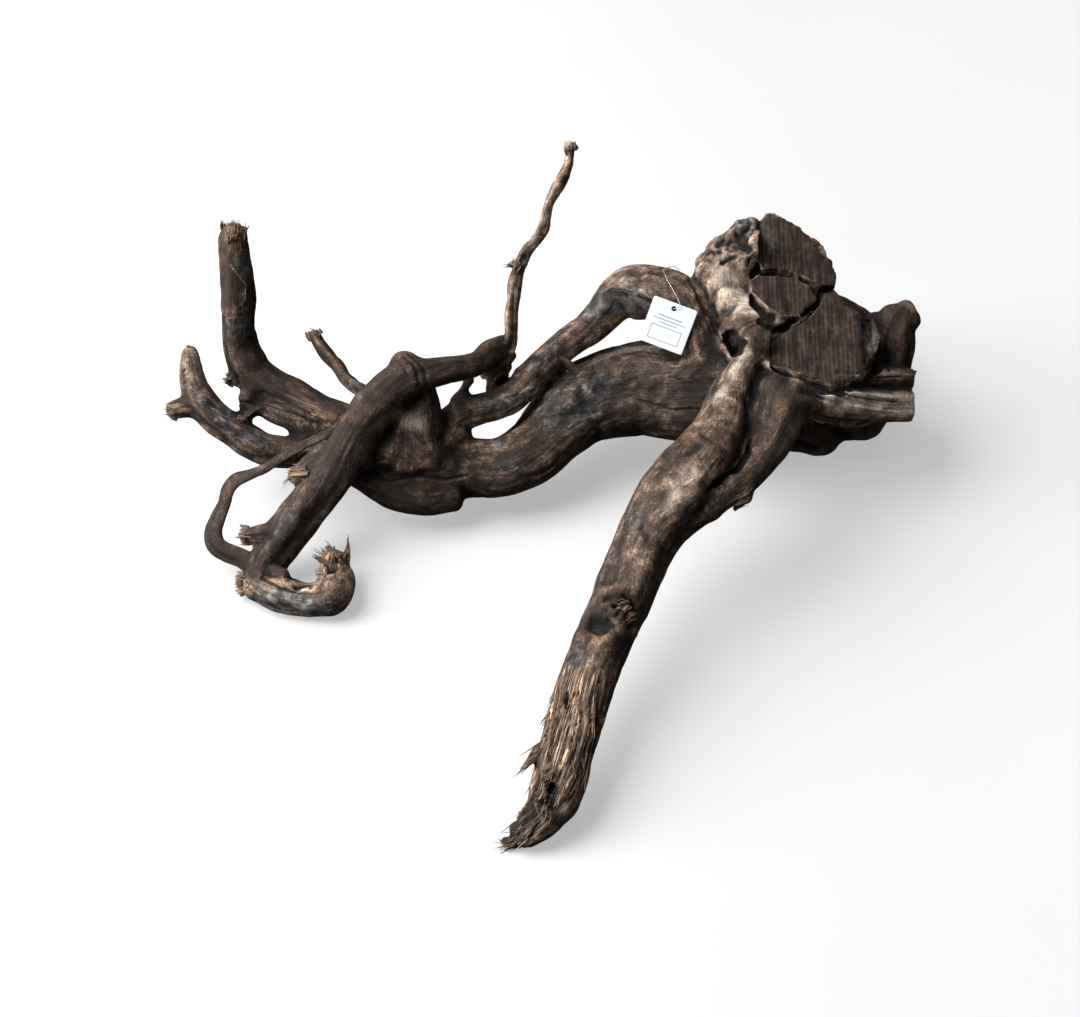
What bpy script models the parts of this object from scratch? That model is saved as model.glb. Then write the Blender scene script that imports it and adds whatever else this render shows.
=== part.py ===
"""A bogwood root with a shop's hang tag: one grown solid, one card and one thin loop.

Lengths are in metres unless a name says mm, +Z is up, and the floor is z = 0.

The limbs are stated as stations: picture x and y, height over the floor in mm, and radius in mm. The
picture looks at the root from the front and above, and sighted() meets its line of sight with the
plane at the stated height. Limbs and knobs are fused into one skin, sawn flat, cracked, and then
given their thin twigs and torn splinters.
"""

import math
import random

import bmesh
import bpy
import numpy as np
from mathutils import Vector

MM = 0.001

# The picture that the stations are stated in
PICTURE_CENTRE_X = 540.0
PICTURE_CENTRE_Y = 508.5
PICTURE_SCALE_MM = 0.9
VIEW_DISTANCE_MM = 1600.0
VIEW_ELEVATION_DEG = 50.0

# The whole object is moved by this much, so that its box stands centred on the origin
CENTRE_SHIFT_MM = (-3.2, 59.0, 0.0)

SKIN_VOXEL_MM = 3.2
SKIN_TRIANGLES = 6200
SKIN_SMOOTHING_ROUNDS = 3

# Thick limbs, each from its free end to where it joins
ARM = [
    (512, 341, 135, 6), (503, 344, 135, 9.5), (490, 352, 136, 11), (475, 364, 137, 11),
    (460, 369, 139, 11.5), (445, 370, 141, 12), (430, 373, 142, 13), (414, 376, 142, 15),
    (396, 386, 134, 17), (377, 405, 119, 18), (363, 425, 105, 18), (350, 445, 92, 18),
    (338, 465, 80, 17.5), (323, 486, 70, 17), (307, 507, 60, 17), (290, 528, 48, 17),
    (276, 548, 34, 16), (266, 564, 24, 15), (262, 580, 17, 14),
]
FOOT = [
    (250, 580, 13, 9), (258, 585, 14, 13), (275, 592, 15, 16), (295, 597, 15, 15.5),
    (315, 599, 16, 15.5), (331, 595, 18, 18), (337, 581, 22, 16), (334, 566, 27, 13.5),
    (335, 556, 30, 11),
]
LIMB_ONE = [
    (190, 347, 132, 6), (190, 352, 130, 9), (191, 365, 125, 11), (193, 380, 118, 12.5), (200, 397, 108, 15),
    (214, 414, 98, 15.5), (230, 427, 88, 15.5), (243, 436, 80, 16), (258, 445, 73, 15.5),
    (276, 451, 67, 15), (296, 452, 64, 15), (316, 448, 64, 15), (338, 442, 66, 17),
    (362, 440, 68, 20),
]
LIMB_ONE_STUB = [(170, 411, 104, 6.5), (180, 408, 104, 8), (193, 404, 104, 10), (206, 405, 103, 11)]
LIMB_TWO = [
    (233, 226, 226, 8), (233, 236, 218, 11.5), (235, 252, 205, 13), (238, 275, 187, 13.5),
    (239, 300, 166, 14), (238, 325, 145, 13.5), (240, 347, 126, 15), (252, 371, 108, 16.5),
    (270, 385, 99, 16), (292, 397, 92, 15), (318, 411, 86, 15), (345, 425, 80, 17),
]
LIMB_TWO_SPUR = [(229, 379, 106, 5.5), (238, 378, 106, 7.5), (252, 378, 104, 9)]
FLAT_SPLINTER = [
    (238, 422, 92, 4.5), (250, 413, 94, 6), (264, 406, 95, 7), (282, 412, 92, 9), (302, 424, 84, 10),
    (324, 432, 76, 12),
]
TORN_SLAB = [
    (256, 409, 92, 4), (268, 414, 91, 7), (284, 419, 88, 8.5), (302, 424, 84, 9.5), (326, 430, 78, 12),
]
LOWER_ARM_COLUMN = [(416, 386, 124, 17), (414, 406, 104, 24), (414, 430, 82, 27), (420, 458, 58, 31)]
BELLY = [(352, 462, 66, 19), (372, 466, 54, 25), (398, 472, 45, 31), (424, 475, 41, 33), (450, 470, 41, 33)]
NECK = [
    (440, 466, 42, 30), (470, 466, 43, 28), (500, 466, 45, 28), (522, 456, 49, 29), (540, 443, 54, 30),
    (558, 424, 61, 33), (577, 405, 68, 37), (603, 394, 74, 39), (640, 387, 79, 41), (682, 388, 84, 44),
    (725, 384, 88, 48), (765, 380, 90, 50),
]
BOUGH = [
    (444, 436, 66, 20), (460, 416, 80, 15), (480, 408, 87, 14), (500, 403, 92, 14), (518, 392, 98, 14),
    (533, 375, 104, 14), (550, 358, 109, 14), (568, 343, 114, 14.5), (588, 329, 120, 15.5),
    (602, 315, 127, 17), (614, 300, 134, 20), (630, 292, 141, 23), (650, 292, 147, 24),
    (668, 296, 150, 24), (684, 308, 146, 24), (694, 328, 136, 24), (699, 352, 120, 26),
    (702, 378, 100, 29),
]
LEG = [
    (506, 847, 2, 4), (514, 843, 4, 7), (527, 834, 9, 12), (543, 818, 16, 17), (555, 798, 24, 20.5),
    (562, 775, 31, 22), (568, 748, 39, 22.5), (576, 720, 46, 23), (584, 692, 54, 23.5),
    (594, 664, 62, 24), (606, 637, 70, 25), (618, 609, 79, 26), (630, 580, 88, 26.5), (642, 552, 97, 27),
    (655, 525, 107, 30), (672, 500, 116, 33), (691, 476, 124, 33), (708, 452, 130, 30),
    (721, 427, 136, 24), (729, 402, 140, 19.5), (738, 379, 143, 17), (752, 362, 145, 15),
    (774, 354, 142, 17),
]
LEG_RIGHT_STRAND = [
    (656, 548, 98, 9), (680, 524, 108, 14), (706, 506, 116, 15.5), (733, 486, 122, 15.5), (755, 464, 127, 17.5),
    (769, 440, 131, 20.5), (777, 415, 134, 24), (784, 394, 132, 26), (794, 374, 122, 27),
]
ARM_STUB = [(290, 479, 74, 6), (300, 472, 78, 7.5), (312, 463, 83, 8.5), (326, 453, 88, 9), (344, 442, 93, 9)]
ARM_KNOB = [(244, 536, 46, 5.5), (252, 535, 47, 7.5), (266, 533, 48, 9), (284, 531, 48, 10)]
TIP_LUMP = [(513, 352, 126, 6), (503, 360, 121, 7.5), (494, 366, 119, 7.5), (486, 370, 121, 7)]
BACK_STRUT = [(470, 378, 118, 6), (464, 390, 102, 5.5), (456, 402, 90, 7)]
UPPER_SHELF = [
    (920, 377, 116, 7), (900, 376, 118, 8.5), (876, 375, 122, 10), (850, 377, 124, 13), (822, 380, 122, 20),
]
LOWER_SHELF = [
    (918, 405, 96, 13), (898, 406, 100, 14), (874, 405, 108, 15), (848, 401, 118, 16), (824, 393, 126, 19),
    (802, 384, 130, 22),
]
SHELF_FOLD = [(868, 418, 92, 9), (848, 413, 102, 13), (828, 405, 114, 16), (806, 395, 124, 20)]
HORN = [
    (909, 303, 158, 6), (903, 315, 150, 12), (898, 333, 138, 15), (896, 352, 124, 15), (886, 376, 104, 20),
]
HORN_LEFT = [(868, 316, 140, 5), (878, 322, 138, 10), (884, 340, 128, 13), (878, 364, 110, 18)]
SHELF_END_X_MM = 321.0

# Buttresses and a broken stub low on the stump's back, which the picture doesn't show
BACK_BUTTRESS = [(764, 346, 2, 20), (768, 326, 36, 26), (772, 306, 84, 27), (778, 290, 128, 24)]
SIDE_BUTTRESS = [(858, 354, 2, 18), (854, 340, 34, 24), (844, 326, 74, 26), (828, 318, 112, 23)]
BACK_STUB = [(812, 294, 50, 10), (811, 304, 51, 14), (808, 326, 54, 22)]

# The stump's two tall lobes, from their tops down into the stump
UPPER_LOBE = [
    (790, 246, 206, 29), (788, 254, 194, 33), (784, 278, 162, 40), (780, 306, 126, 50),
    (780, 334, 84, 60), (790, 362, 40, 66), (796, 378, 14, 52),
]
BURL_LOBE = [
    (728, 254, 184, 18), (731, 269, 172, 27), (735, 295, 146, 34), (755, 334, 100, 45),
    (768, 364, 56, 52), (776, 392, 18, 44),
]

# Rounded knobs: picture x, y, height and radius in mm
KNOBS = [
    (891, 316, 150, 12), (912, 320, 148, 9), (736, 308, 156, 21), (760, 356, 146, 11),
    (724, 250, 180, 14), (708, 266, 165, 11.5), (742, 238, 190, 15), (735, 262, 180, 17),
    (710, 290, 152, 16), (752, 230, 196, 13), (724, 284, 162, 18), (748, 262, 184, 15),
    (728, 318, 142, 17), (748, 308, 154, 15), (776, 392, 144, 17), (405, 364, 148, 12),
    (246, 398, 102, 9), (655, 286, 158, 14), (333, 592, 21, 16.5), (362, 452, 78, 18),
    (388, 448, 76, 20), (412, 446, 72, 19), (448, 436, 70, 18), (706, 508, 112, 15),
    (743, 494, 122, 10), (571, 400, 90, 14), (601, 368, 92, 14), (622, 606, 96, 13),
    (256, 588, 15, 12), (240, 381, 107, 8),
]

# The stump's level slices: picture x and y of the centre, height, half width and half depth in mm
STUMP_SLICES = [
    (806, 404, -7, 56, 54), (806, 400, 3, 70, 70), (806, 388, 24, 78, 84), (805, 372, 60, 80, 74),
    (802, 350, 100, 84, 58), (798, 334, 140, 70, 54), (792, 316, 164, 56, 48), (790, 308, 176, 44, 40),
]
STUMP_RING_SIDES = 36

# Ridges down the stump: how many, share of the radius, where they start, and turn for each mm of rise
STUMP_RIDGES = [(3, 0.05, 0.8, 0.006), (5, 0.05, 2.1, -0.009), (9, 0.035, 0.4, 0.012)]

# Sawn faces: outlines in the picture, on one plane that leans towards the viewer
SAW_PLANE_X = 820.0
SAW_PLANE_Y = 340.0
SAW_PLANE_HEIGHT_MM = 160.0
SAW_TILT_DEG = 22.0
SAW_CUTTER_RISE_MM = 90.0
SAWN_LOBE_RISE_MM = 9.0
SAWN_LOBE_DEPTH_MM = 58.0
SAWN_LOBE_FOOT_SHARE = 0.86
SAWN_AREA = [
    (757, 200), (790, 196), (850, 214), (866, 268), (862, 286), (850, 290), (870, 312), (892, 338),
    (889, 356), (868, 380), (846, 396), (818, 396), (780, 384), (768, 372), (768, 350), (764, 332),
    (748, 312), (748, 276), (755, 268),
]
UPPER_SAWN_LOBE = [
    (757, 222), (768, 212), (783, 217), (800, 227), (813, 240), (820, 252), (832, 260), (838, 274),
    (836, 285), (826, 288), (815, 284), (801, 276), (783, 270), (760, 269), (757, 246),
]
OVAL_SAWN_LOBE = [
    (750, 280), (758, 274), (772, 273), (788, 274), (803, 280), (813, 288), (817, 297), (815, 305),
    (805, 312), (792, 315), (779, 314), (767, 308), (757, 299), (751, 290),
]
LOWER_SAWN_LOBE = [
    (760, 358), (768, 344), (780, 333), (796, 325), (811, 315), (820, 303), (822, 292), (837, 289),
    (843, 302), (858, 311), (874, 317), (880, 336), (879, 353), (867, 368), (850, 381), (832, 385),
    (811, 379), (794, 371), (774, 365),
]

# Cracks: picture points with height, then width and depth in mm
CRACKS = [
    ([(746, 275, 182), (764, 271, 184), (786, 272, 184), (804, 279, 181), (818, 287, 178),
      (832, 288, 177)], 2.2, 22),
    ([(838, 288, 177), (822, 290, 176), (818, 303, 170), (804, 315, 166), (784, 326, 162),
      (770, 333, 158)], 3.8, 24),
    ([(756, 322, 170), (767, 325, 170), (778, 328, 166), (792, 325, 162)], 7.5, 20),
    ([(723, 332, 162), (732, 341, 162), (743, 351, 160)], 14, 36),
    ([(872, 305, 166), (873, 330, 150), (874, 356, 136), (872, 376, 122)], 8, 24),
    ([(912, 392, 100), (884, 391, 102), (852, 388, 104), (822, 386, 108)], 7, 26),
    ([(370, 473, 68), (384, 480, 70), (398, 478, 71), (412, 484, 71), (430, 479, 71), (444, 481, 71),
      (460, 471, 70)], 5, 16),
    ([(756, 368, 168), (749, 390, 160), (747, 406, 154), (751, 432, 148), (749, 452, 142), (737, 470, 138),
      (714, 484, 134), (688, 499, 128)], 6, 14),
    ([(552, 776, 58), (550, 792, 52), (554, 812, 44)], 13, 18),
    ([(612, 602, 108), (622, 613, 106), (634, 622, 104)], 13, 13),
    ([(588, 366, 112), (584, 384, 110), (590, 402, 110)], 4, 8),
    ([(258, 594, 34), (282, 590, 36), (310, 578, 38)], 6, 10),
    ([(274, 404, 116), (300, 412, 112), (328, 416, 108)], 5, 10),
    ([(280, 396, 120), (304, 400, 114), (330, 408, 110)], 4, 9),
    ([(232, 246, 226), (233, 280, 200), (232, 316, 172), (236, 350, 144)], 4, 7),
    ([(408, 362, 164), (417, 372, 162), (424, 386, 158)], 4, 7),
    ([(216, 406, 118), (236, 418, 110), (260, 432, 98)], 5, 6),
    ([(512, 462, 78), (546, 448, 86), (580, 428, 98), (612, 416, 108)], 4, 7),
    ([(620, 286, 164), (648, 280, 172), (680, 288, 178)], 4, 6),
    ([(600, 690, 84), (586, 730, 74), (578, 768, 64)], 4, 7),
    ([(652, 560, 124), (628, 616, 106), (612, 652, 94)], 4, 7),
]

# Hollows: picture point with height, then radius in mm
HOLLOWS = [
    (622, 612, 106, 11), (552, 800, 52, 10), (400, 420, 132, 9), (870, 342, 140, 9),
]

# Thin twigs that are fused on after the thick limbs
TWIG_TALL = [
    (570, 142, 318, 4.4), (570, 150, 311, 4.2), (568, 165, 299, 3.8), (562, 178, 288, 4.2),
    (555, 190, 277, 4.0), (549, 203, 266, 4.0), (545, 217, 254, 4.5), (543, 228, 245, 4.8),
    (535, 240, 233, 4.5), (526, 251, 222, 5.0), (521, 262, 212, 5.4), (517, 273, 202, 4.5),
    (514, 286, 190, 4.6), (512, 301, 176, 4.8), (511, 316, 163, 5.6), (511, 331, 150, 6.0),
    (509, 346, 135, 6.5), (500, 356, 125, 6.0),
]
TWIG_SPUR = [(507, 265, 212, 1.6), (514, 265, 211, 2.6), (523, 266, 209, 4.0)]
TWIG_CURLED = [
    (345, 413, 98, 2.8), (339, 426, 96, 3.6), (322, 436, 92, 4.0), (300, 447, 86, 4.2),
    (284, 457, 82, 4.2), (268, 467, 78, 4.2), (250, 475, 72, 4.6), (236, 480, 67, 5.4),
    (228, 490, 61, 5.4), (225, 503, 54, 5.4), (219, 517, 47, 6.2), (215, 531, 40, 6.8),
    (217, 544, 34, 7.4), (226, 552, 30, 7.2), (240, 558, 27, 6.8), (253, 565, 25, 7.2),
    (268, 574, 24, 8.0), (284, 582, 22, 8.5),
]
TWIG_THREE = [
    (313, 333, 130, 5.4), (320, 344, 124, 5.6), (328, 355, 118, 6.0), (338, 366, 113, 6.2),
    (344, 377, 111, 6.4), (352, 384, 110, 6.6), (366, 393, 112, 7.0), (384, 401, 121, 8.0),
]
STRAND_LEFT = [(494, 367, 120, 4.4), (487, 372, 112, 3.8), (482, 377, 104, 2.4)]
STRAND_MIDDLE = [(500, 370, 117, 4.2), (493, 380, 106, 3.8), (487, 390, 95, 2.2)]
STRAND_RIGHT = [(507, 366, 118, 4.4), (502, 378, 106, 4.0), (497, 390, 94, 2.2)]
LEG_NIB = [(602, 722, 56, 2.0), (597, 715, 58, 4.2), (588, 706, 58, 6.5)]
LEG_SPIKE = [(520, 771, 40, 1.2), (532, 761, 42, 3.0), (546, 748, 44, 5.5)]
NECK_SPIKE = [(561, 356, 118, 1.4), (569, 364, 112, 3.2), (580, 375, 103, 5.5)]
FOOT_SPIKE = [(348, 534, 44, 1.2), (348, 545, 38, 2.6), (345, 560, 30, 4.5)]

# Torn ends: picture point with height, a point they reach towards with height, then the width of
# the torn face, the mean splinter length in mm, and the count
TORN_ENDS = [
    ((235, 238, 216), (234, 222, 232), 10.5, 17, 15),
    ((314, 336, 128), (308, 324, 136), 5.0, 8, 7),
    ((174, 411, 104), (160, 411, 104), 6.0, 8, 9),
    ((304, 475, 79), (288, 478, 76), 7.5, 15, 16),
    ((247, 536, 46), (234, 536, 44), 7.0, 8, 11),
    ((243, 583, 14), (230, 582, 13), 8.5, 8, 14),
    ((331, 568, 27), (306, 559, 30), 12.0, 20, 18),
    ((337, 560, 28), (342, 544, 36), 8.0, 13, 9),
    ((242, 421, 92), (228, 424, 90), 6.0, 9, 8),
    ((230, 379, 106), (220, 378, 106), 5.0, 6, 7),
    ((571, 148, 314), (568, 136, 322), 3.6, 5, 7),
    ((518, 266, 210), (524, 254, 220), 4.6, 7, 8),
    ((500, 370, 112), (490, 388, 96), 6.5, 10, 7),
    ((556, 772, 40), (540, 786, 34), 10.0, 15, 14),
    ((736, 500, 120), (756, 490, 124), 6.5, 11, 10),
    ((624, 611, 96), (612, 622, 98), 8.5, 9, 10),
    ((799, 322, 148), (806, 312, 166), 8.0, 10, 8),
    ((240, 434, 80), (238, 444, 76), 5.0, 7, 6),
]
SPLINTER_SEED = 11
SPLINTER_SPREAD = 0.33
SPLINTER_ROOT_SHARE = 0.75

# Hang tag and its loop
TAG_SIDE_MM = 40.0
TAG_THICKNESS_MM = 0.6
TAG_HOLE_RADIUS_MM = 2.2
TAG_HOLE_INSET_MM = 5.0
TAG_TOP_LEFT = (654.7, 295.3, 171.8)
TAG_TOP_RIGHT = (697.5, 311.3, 167.1)
TAG_BOTTOM_LEFT = (639.0, 337.0, 143.9)
LOOP_RADIUS_MM = 0.6
LOOP_SIDES = 6
LOOP_CENTRE = (668, 296, 150)
LOOP_AXIS_END = (650, 292, 147)

# The loop's way round the bough: degrees from the side that faces the viewer, and mm from the centre
LOOP_ROUND_BOUGH = [
    (325, 27.5), (300, 26.5), (270, 26), (240, 27), (210, 29.5), (180, 28), (150, 27), (120, 26.5),
    (90, 27.5), (60, 28), (38, 27),
]


def sighted(x, y, height_mm):
    """The point at this height that the picture shows at x, y, in metres before the shift."""
    focal = VIEW_DISTANCE_MM / PICTURE_SCALE_MM
    tilt = math.radians(VIEW_ELEVATION_DEG)
    across = (x - PICTURE_CENTRE_X) / focal
    up = (PICTURE_CENTRE_Y - y) / focal
    ray = Vector((across, math.cos(tilt) + up * math.sin(tilt), -math.sin(tilt) + up * math.cos(tilt)))
    eye = Vector((0, -math.cos(tilt), math.sin(tilt))) * VIEW_DISTANCE_MM
    travel = (height_mm - eye.z) / ray.z
    return (eye + ray * travel + Vector(CENTRE_SHIFT_MM)) * MM


def saw_normal():
    """The direction that the sawn plane faces: up, and a little towards the viewer."""
    tilt = math.radians(SAW_TILT_DEG)
    return Vector((0, -math.sin(tilt), math.cos(tilt)))


def sighted_on_saw(x, y, lift_mm=0.0):
    """The point that the picture shows at x, y on the sawn plane, or on one parallel to it."""
    base = sighted(SAW_PLANE_X, SAW_PLANE_Y, SAW_PLANE_HEIGHT_MM) + saw_normal() * lift_mm * MM
    near, far = sighted(x, y, 300.0), sighted(x, y, 0.0)
    share = (base - near).dot(saw_normal()) / (far - near).dot(saw_normal())
    return near.lerp(far, share)


def curve_through(stations, step_mm):
    """Points and radii in metres along a smooth curve through the stations."""
    knots = [(*sighted(x, y, h), r * MM) for x, y, h, r in stations]
    knots = np.array([2 * np.array(knots[0]) - knots[1], *knots, 2 * np.array(knots[-1]) - knots[-2]])
    rows = []
    for i in range(1, len(knots) - 2):
        a, b, c, d = knots[i - 1:i + 3]
        count = max(1, round(float(np.linalg.norm(c[:3] - b[:3])) / (step_mm * MM)))
        for t in np.arange(count) / count:
            rows.append(0.5 * (2 * b + (c - a) * t + (2 * a - 5 * b + 4 * c - d) * t * t
                               + (3 * b - a - 3 * c + d) * t ** 3))
    rows.append(knots[-2])
    rows = np.array(rows)
    low = min(r for *_, r in stations) * MM
    return rows[:, :3], np.maximum(rows[:, 3], low * 0.8)


def mesh_object(name, points, faces):
    """A linked object of these points and faces, with its faces turned outward."""
    mesh = bpy.data.meshes.new(name)
    mesh.from_pydata([tuple(p) for p in points], [], faces)
    work = bmesh.new()
    work.from_mesh(mesh)
    bmesh.ops.recalc_face_normals(work, faces=work.faces)
    work.to_mesh(mesh)
    work.free()
    thing = bpy.data.objects.new(name, mesh)
    bpy.context.scene.collection.objects.link(thing)
    return thing


def tube_faces(rings, sides):
    """Faces of a tube of rings, closed by a fan at each end. The two end points come last."""
    faces = []
    for i in range(rings - 1):
        for j in range(sides):
            k = (j + 1) % sides
            faces.append((i * sides + j, i * sides + k, (i + 1) * sides + k, (i + 1) * sides + j))
    first, last = rings * sides, rings * sides + 1
    for j in range(sides):
        k = (j + 1) % sides
        faces.append((first, k, j))
        faces.append((last, (rings - 1) * sides + j, (rings - 1) * sides + k))
    return faces


def limb(name, stations, sides, step_mm, flute=0.06):
    """A closed tube along the stations, with a few seeded ridges that wind slowly round it."""
    draw = random.Random(name)
    waves = [(k, flute * share, draw.uniform(0, math.tau), draw.uniform(-9, 9))
             for k, share in ((2, 1.2), (3, 1.0), (5, 0.7))]
    path, radii = curve_through(stations, step_mm)
    steps = np.gradient(path, axis=0)
    along = steps / np.linalg.norm(steps, axis=1)[:, None]
    side = np.cross(along[0], (0.31, 0.17, 0.93))
    points, travel = [], 0.0
    for i, (centre, radius) in enumerate(zip(path, radii)):
        side = side - along[i] * side.dot(along[i])
        side /= np.linalg.norm(side)
        up = np.cross(along[i], side)
        if i:
            travel += float(np.linalg.norm(path[i] - path[i - 1]))
        for j in range(sides):
            turn = math.tau * j / sides
            swell = 1 + sum(a * math.cos(k * turn + p + w * travel) for k, a, p, w in waves)
            points.append(centre + (side * math.cos(turn) + up * math.sin(turn)) * radius * swell)
    points.append(path[0] - along[0] * radii[0] * 0.5)
    points.append(path[-1] + along[-1] * radii[-1] * 0.5)
    return mesh_object(name, points, tube_faces(len(path), sides))


def knob(name, x, y, height_mm, radius_mm):
    """A rounded swelling, a little lobed by its own seed."""
    work = bmesh.new()
    bmesh.ops.create_icosphere(work, subdivisions=2, radius=radius_mm * MM)
    draw = random.Random(name)
    stretch = Vector((draw.uniform(0.9, 1.12), draw.uniform(0.9, 1.12), draw.uniform(0.88, 1.05)))
    for vert in work.verts:
        vert.co = vert.co * stretch + sighted(x, y, height_mm)
    mesh = bpy.data.meshes.new(name)
    work.to_mesh(mesh)
    work.free()
    thing = bpy.data.objects.new(name, mesh)
    bpy.context.scene.collection.objects.link(thing)
    return thing


def stump():
    """The stump's core: level slices, with buttress ridges that run down it."""
    points = []
    for x, y, height, half_width, half_depth in STUMP_SLICES:
        centre = sighted(x, y, height)
        for j in range(STUMP_RING_SIDES):
            turn = math.tau * j / STUMP_RING_SIDES
            swell = 1 + sum(share * math.cos(k * turn + start + wind * height)
                            for k, share, start, wind in STUMP_RIDGES)
            points.append(centre + Vector((half_width * math.cos(turn), half_depth * math.sin(turn), 0))
                          * swell * MM)
    points.append(sighted(*STUMP_SLICES[0][:3]))
    points.append(sighted(*STUMP_SLICES[-1][:3]))
    return mesh_object("stump", points, tube_faces(len(STUMP_SLICES), STUMP_RING_SIDES))


def joined(things, name):
    """One mesh object that holds every piece, still unfused. The pieces are removed."""
    work = bmesh.new()
    for thing in things:
        work.from_mesh(thing.data)
        bpy.data.objects.remove(thing)
    mesh = bpy.data.meshes.new(name)
    work.to_mesh(mesh)
    work.free()
    thing = bpy.data.objects.new(name, mesh)
    bpy.context.scene.collection.objects.link(thing)
    return thing


def applied(thing):
    """The object with its modifiers made real."""
    graph = bpy.context.evaluated_depsgraph_get()
    mesh = bpy.data.meshes.new_from_object(thing.evaluated_get(graph))
    thing.modifiers.clear()
    thing.data = mesh
    return thing


def fused_skin(things):
    """The pieces under one skin, smoothed and thinned to the stated triangle count."""
    skin = joined(things, "skin")
    remesh = skin.modifiers.new("fuse", "REMESH")
    remesh.mode = "VOXEL"
    remesh.voxel_size = SKIN_VOXEL_MM * MM
    smooth = skin.modifiers.new("smooth", "SMOOTH")
    smooth.factor = 0.5
    smooth.iterations = SKIN_SMOOTHING_ROUNDS
    triangles = skin.modifiers.new("triangles", "TRIANGULATE")
    triangles.keep_custom_normals = False
    applied(skin)
    thin = skin.modifiers.new("thin", "DECIMATE")
    thin.ratio = SKIN_TRIANGLES / len(skin.data.polygons)
    return applied(skin)


def combined(body, tools, operation):
    """The body after one Boolean with a collection of tools, which are then removed."""
    group = bpy.data.collections.new("tools")
    for tool in tools:
        group.objects.link(tool)
    change = body.modifiers.new("change", "BOOLEAN")
    change.operation = operation
    change.operand_type = "COLLECTION"
    change.collection = group
    # The exact solver leaves open edges where the torn splinters cross, and this one leaves none
    change.solver = "MANIFOLD"
    applied(body)
    for tool in tools:
        bpy.data.objects.remove(tool)
    bpy.data.collections.remove(group)
    return body


def without_chips(body):
    """The body without the loose chips that the cracks cut off."""
    work = bmesh.new()
    work.from_mesh(body.data)
    todo, groups = set(work.verts), []
    while todo:
        group, edge = set(), [todo.pop()]
        while edge:
            vert = edge.pop()
            group.add(vert)
            near = {e.other_vert(vert) for e in vert.link_edges} & todo
            todo -= near
            edge += near
        groups.append(group)
    groups.sort(key=len)
    for group in groups[:-1]:
        bmesh.ops.delete(work, geom=list(group), context="VERTS")
    work.to_mesh(body.data)
    work.free()
    return body


def prism(name, low, high):
    """A closed prism between two outlines of equal length."""
    sides = len(low)
    faces = [tuple(range(sides)), tuple(range(sides, 2 * sides))]
    faces += [(i, (i + 1) % sides, sides + (i + 1) % sides, sides + i) for i in range(sides)]
    return mesh_object(name, list(low) + list(high), faces)


def saw_cutter():
    """What lies over the ground that the sawn lobes stand up from."""
    low = [sighted_on_saw(x, y, -SAWN_LOBE_RISE_MM) for x, y in SAWN_AREA]
    rise = saw_normal() * SAW_CUTTER_RISE_MM * MM
    return prism("saw", low, [p + rise for p in low])


def sawn_lobe(name, outline):
    """A lobe of wood with a flat sawn top, whose sides fall straight down and draw in a little."""
    draw = random.Random(name)
    top = []
    for i, (x, y) in enumerate(outline):
        after = outline[(i + 1) % len(outline)]
        for share in (0.0, 0.5):
            wander = (draw.uniform(-1.1, 1.1), draw.uniform(-1.1, 1.1))
            top.append(sighted_on_saw(x + (after[0] - x) * share + wander[0],
                                      y + (after[1] - y) * share + wander[1]))
    middle = sum(top, Vector()) / len(top)
    down = Vector((0, 0, -SAWN_LOBE_DEPTH_MM * MM))
    low = [middle.lerp(p, SAWN_LOBE_FOOT_SHARE) + down for p in top]
    return prism(name, low, top)


def shelf_end_cutter():
    """The upright saw cut that ends the two shelves on the right."""
    near, far = SHELF_END_X_MM * MM, SHELF_END_X_MM * MM + 0.1
    corners = ((near, -0.05), (far, -0.05), (far, 0.08), (near, 0.08))
    low = [Vector((x, y, 0.05)) + Vector(CENTRE_SHIFT_MM) * MM for x, y in corners]
    return prism("shelf_end", low, [p + Vector((0.004, 0, 0.073)) for p in low])


def floor_cutter():
    """A slab under the floor, which leaves small flats where the root rests."""
    low = [Vector((x, y, -0.1)) for x, y in ((-1, -1), (1, -1), (1, 1), (-1, 1))]
    return prism("floor", low, [p + Vector((0, 0, 0.1)) for p in low])


def crack_cutter(name, points, width_mm, depth_mm):
    """A wedge that opens a crack along the points, from above the surface down to its depth."""
    towards_eye = Vector((0, -math.cos(math.radians(VIEW_ELEVATION_DEG)),
                          math.sin(math.radians(VIEW_ELEVATION_DEG))))
    path = [sighted(*p) for p in points]
    rings = []
    for i, point in enumerate(path):
        along = (path[min(i + 1, len(path) - 1)] - path[max(i - 1, 0)]).normalized()
        across = along.cross(towards_eye).normalized()
        share = 0.35 if i in (0, len(path) - 1) else 1.0
        half = across * width_mm * MM * share * 0.5
        top = point + towards_eye * 0.012
        deep = point - towards_eye * depth_mm * MM * share
        rings += [top + half * 1.5, top - half * 1.5, deep - half * 0.3, deep + half * 0.3]
    sides = 4
    rings += [(rings[0] + rings[2]) / 2, (rings[-4] + rings[-2]) / 2]
    return mesh_object(name, rings, tube_faces(len(path), sides))


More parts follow.
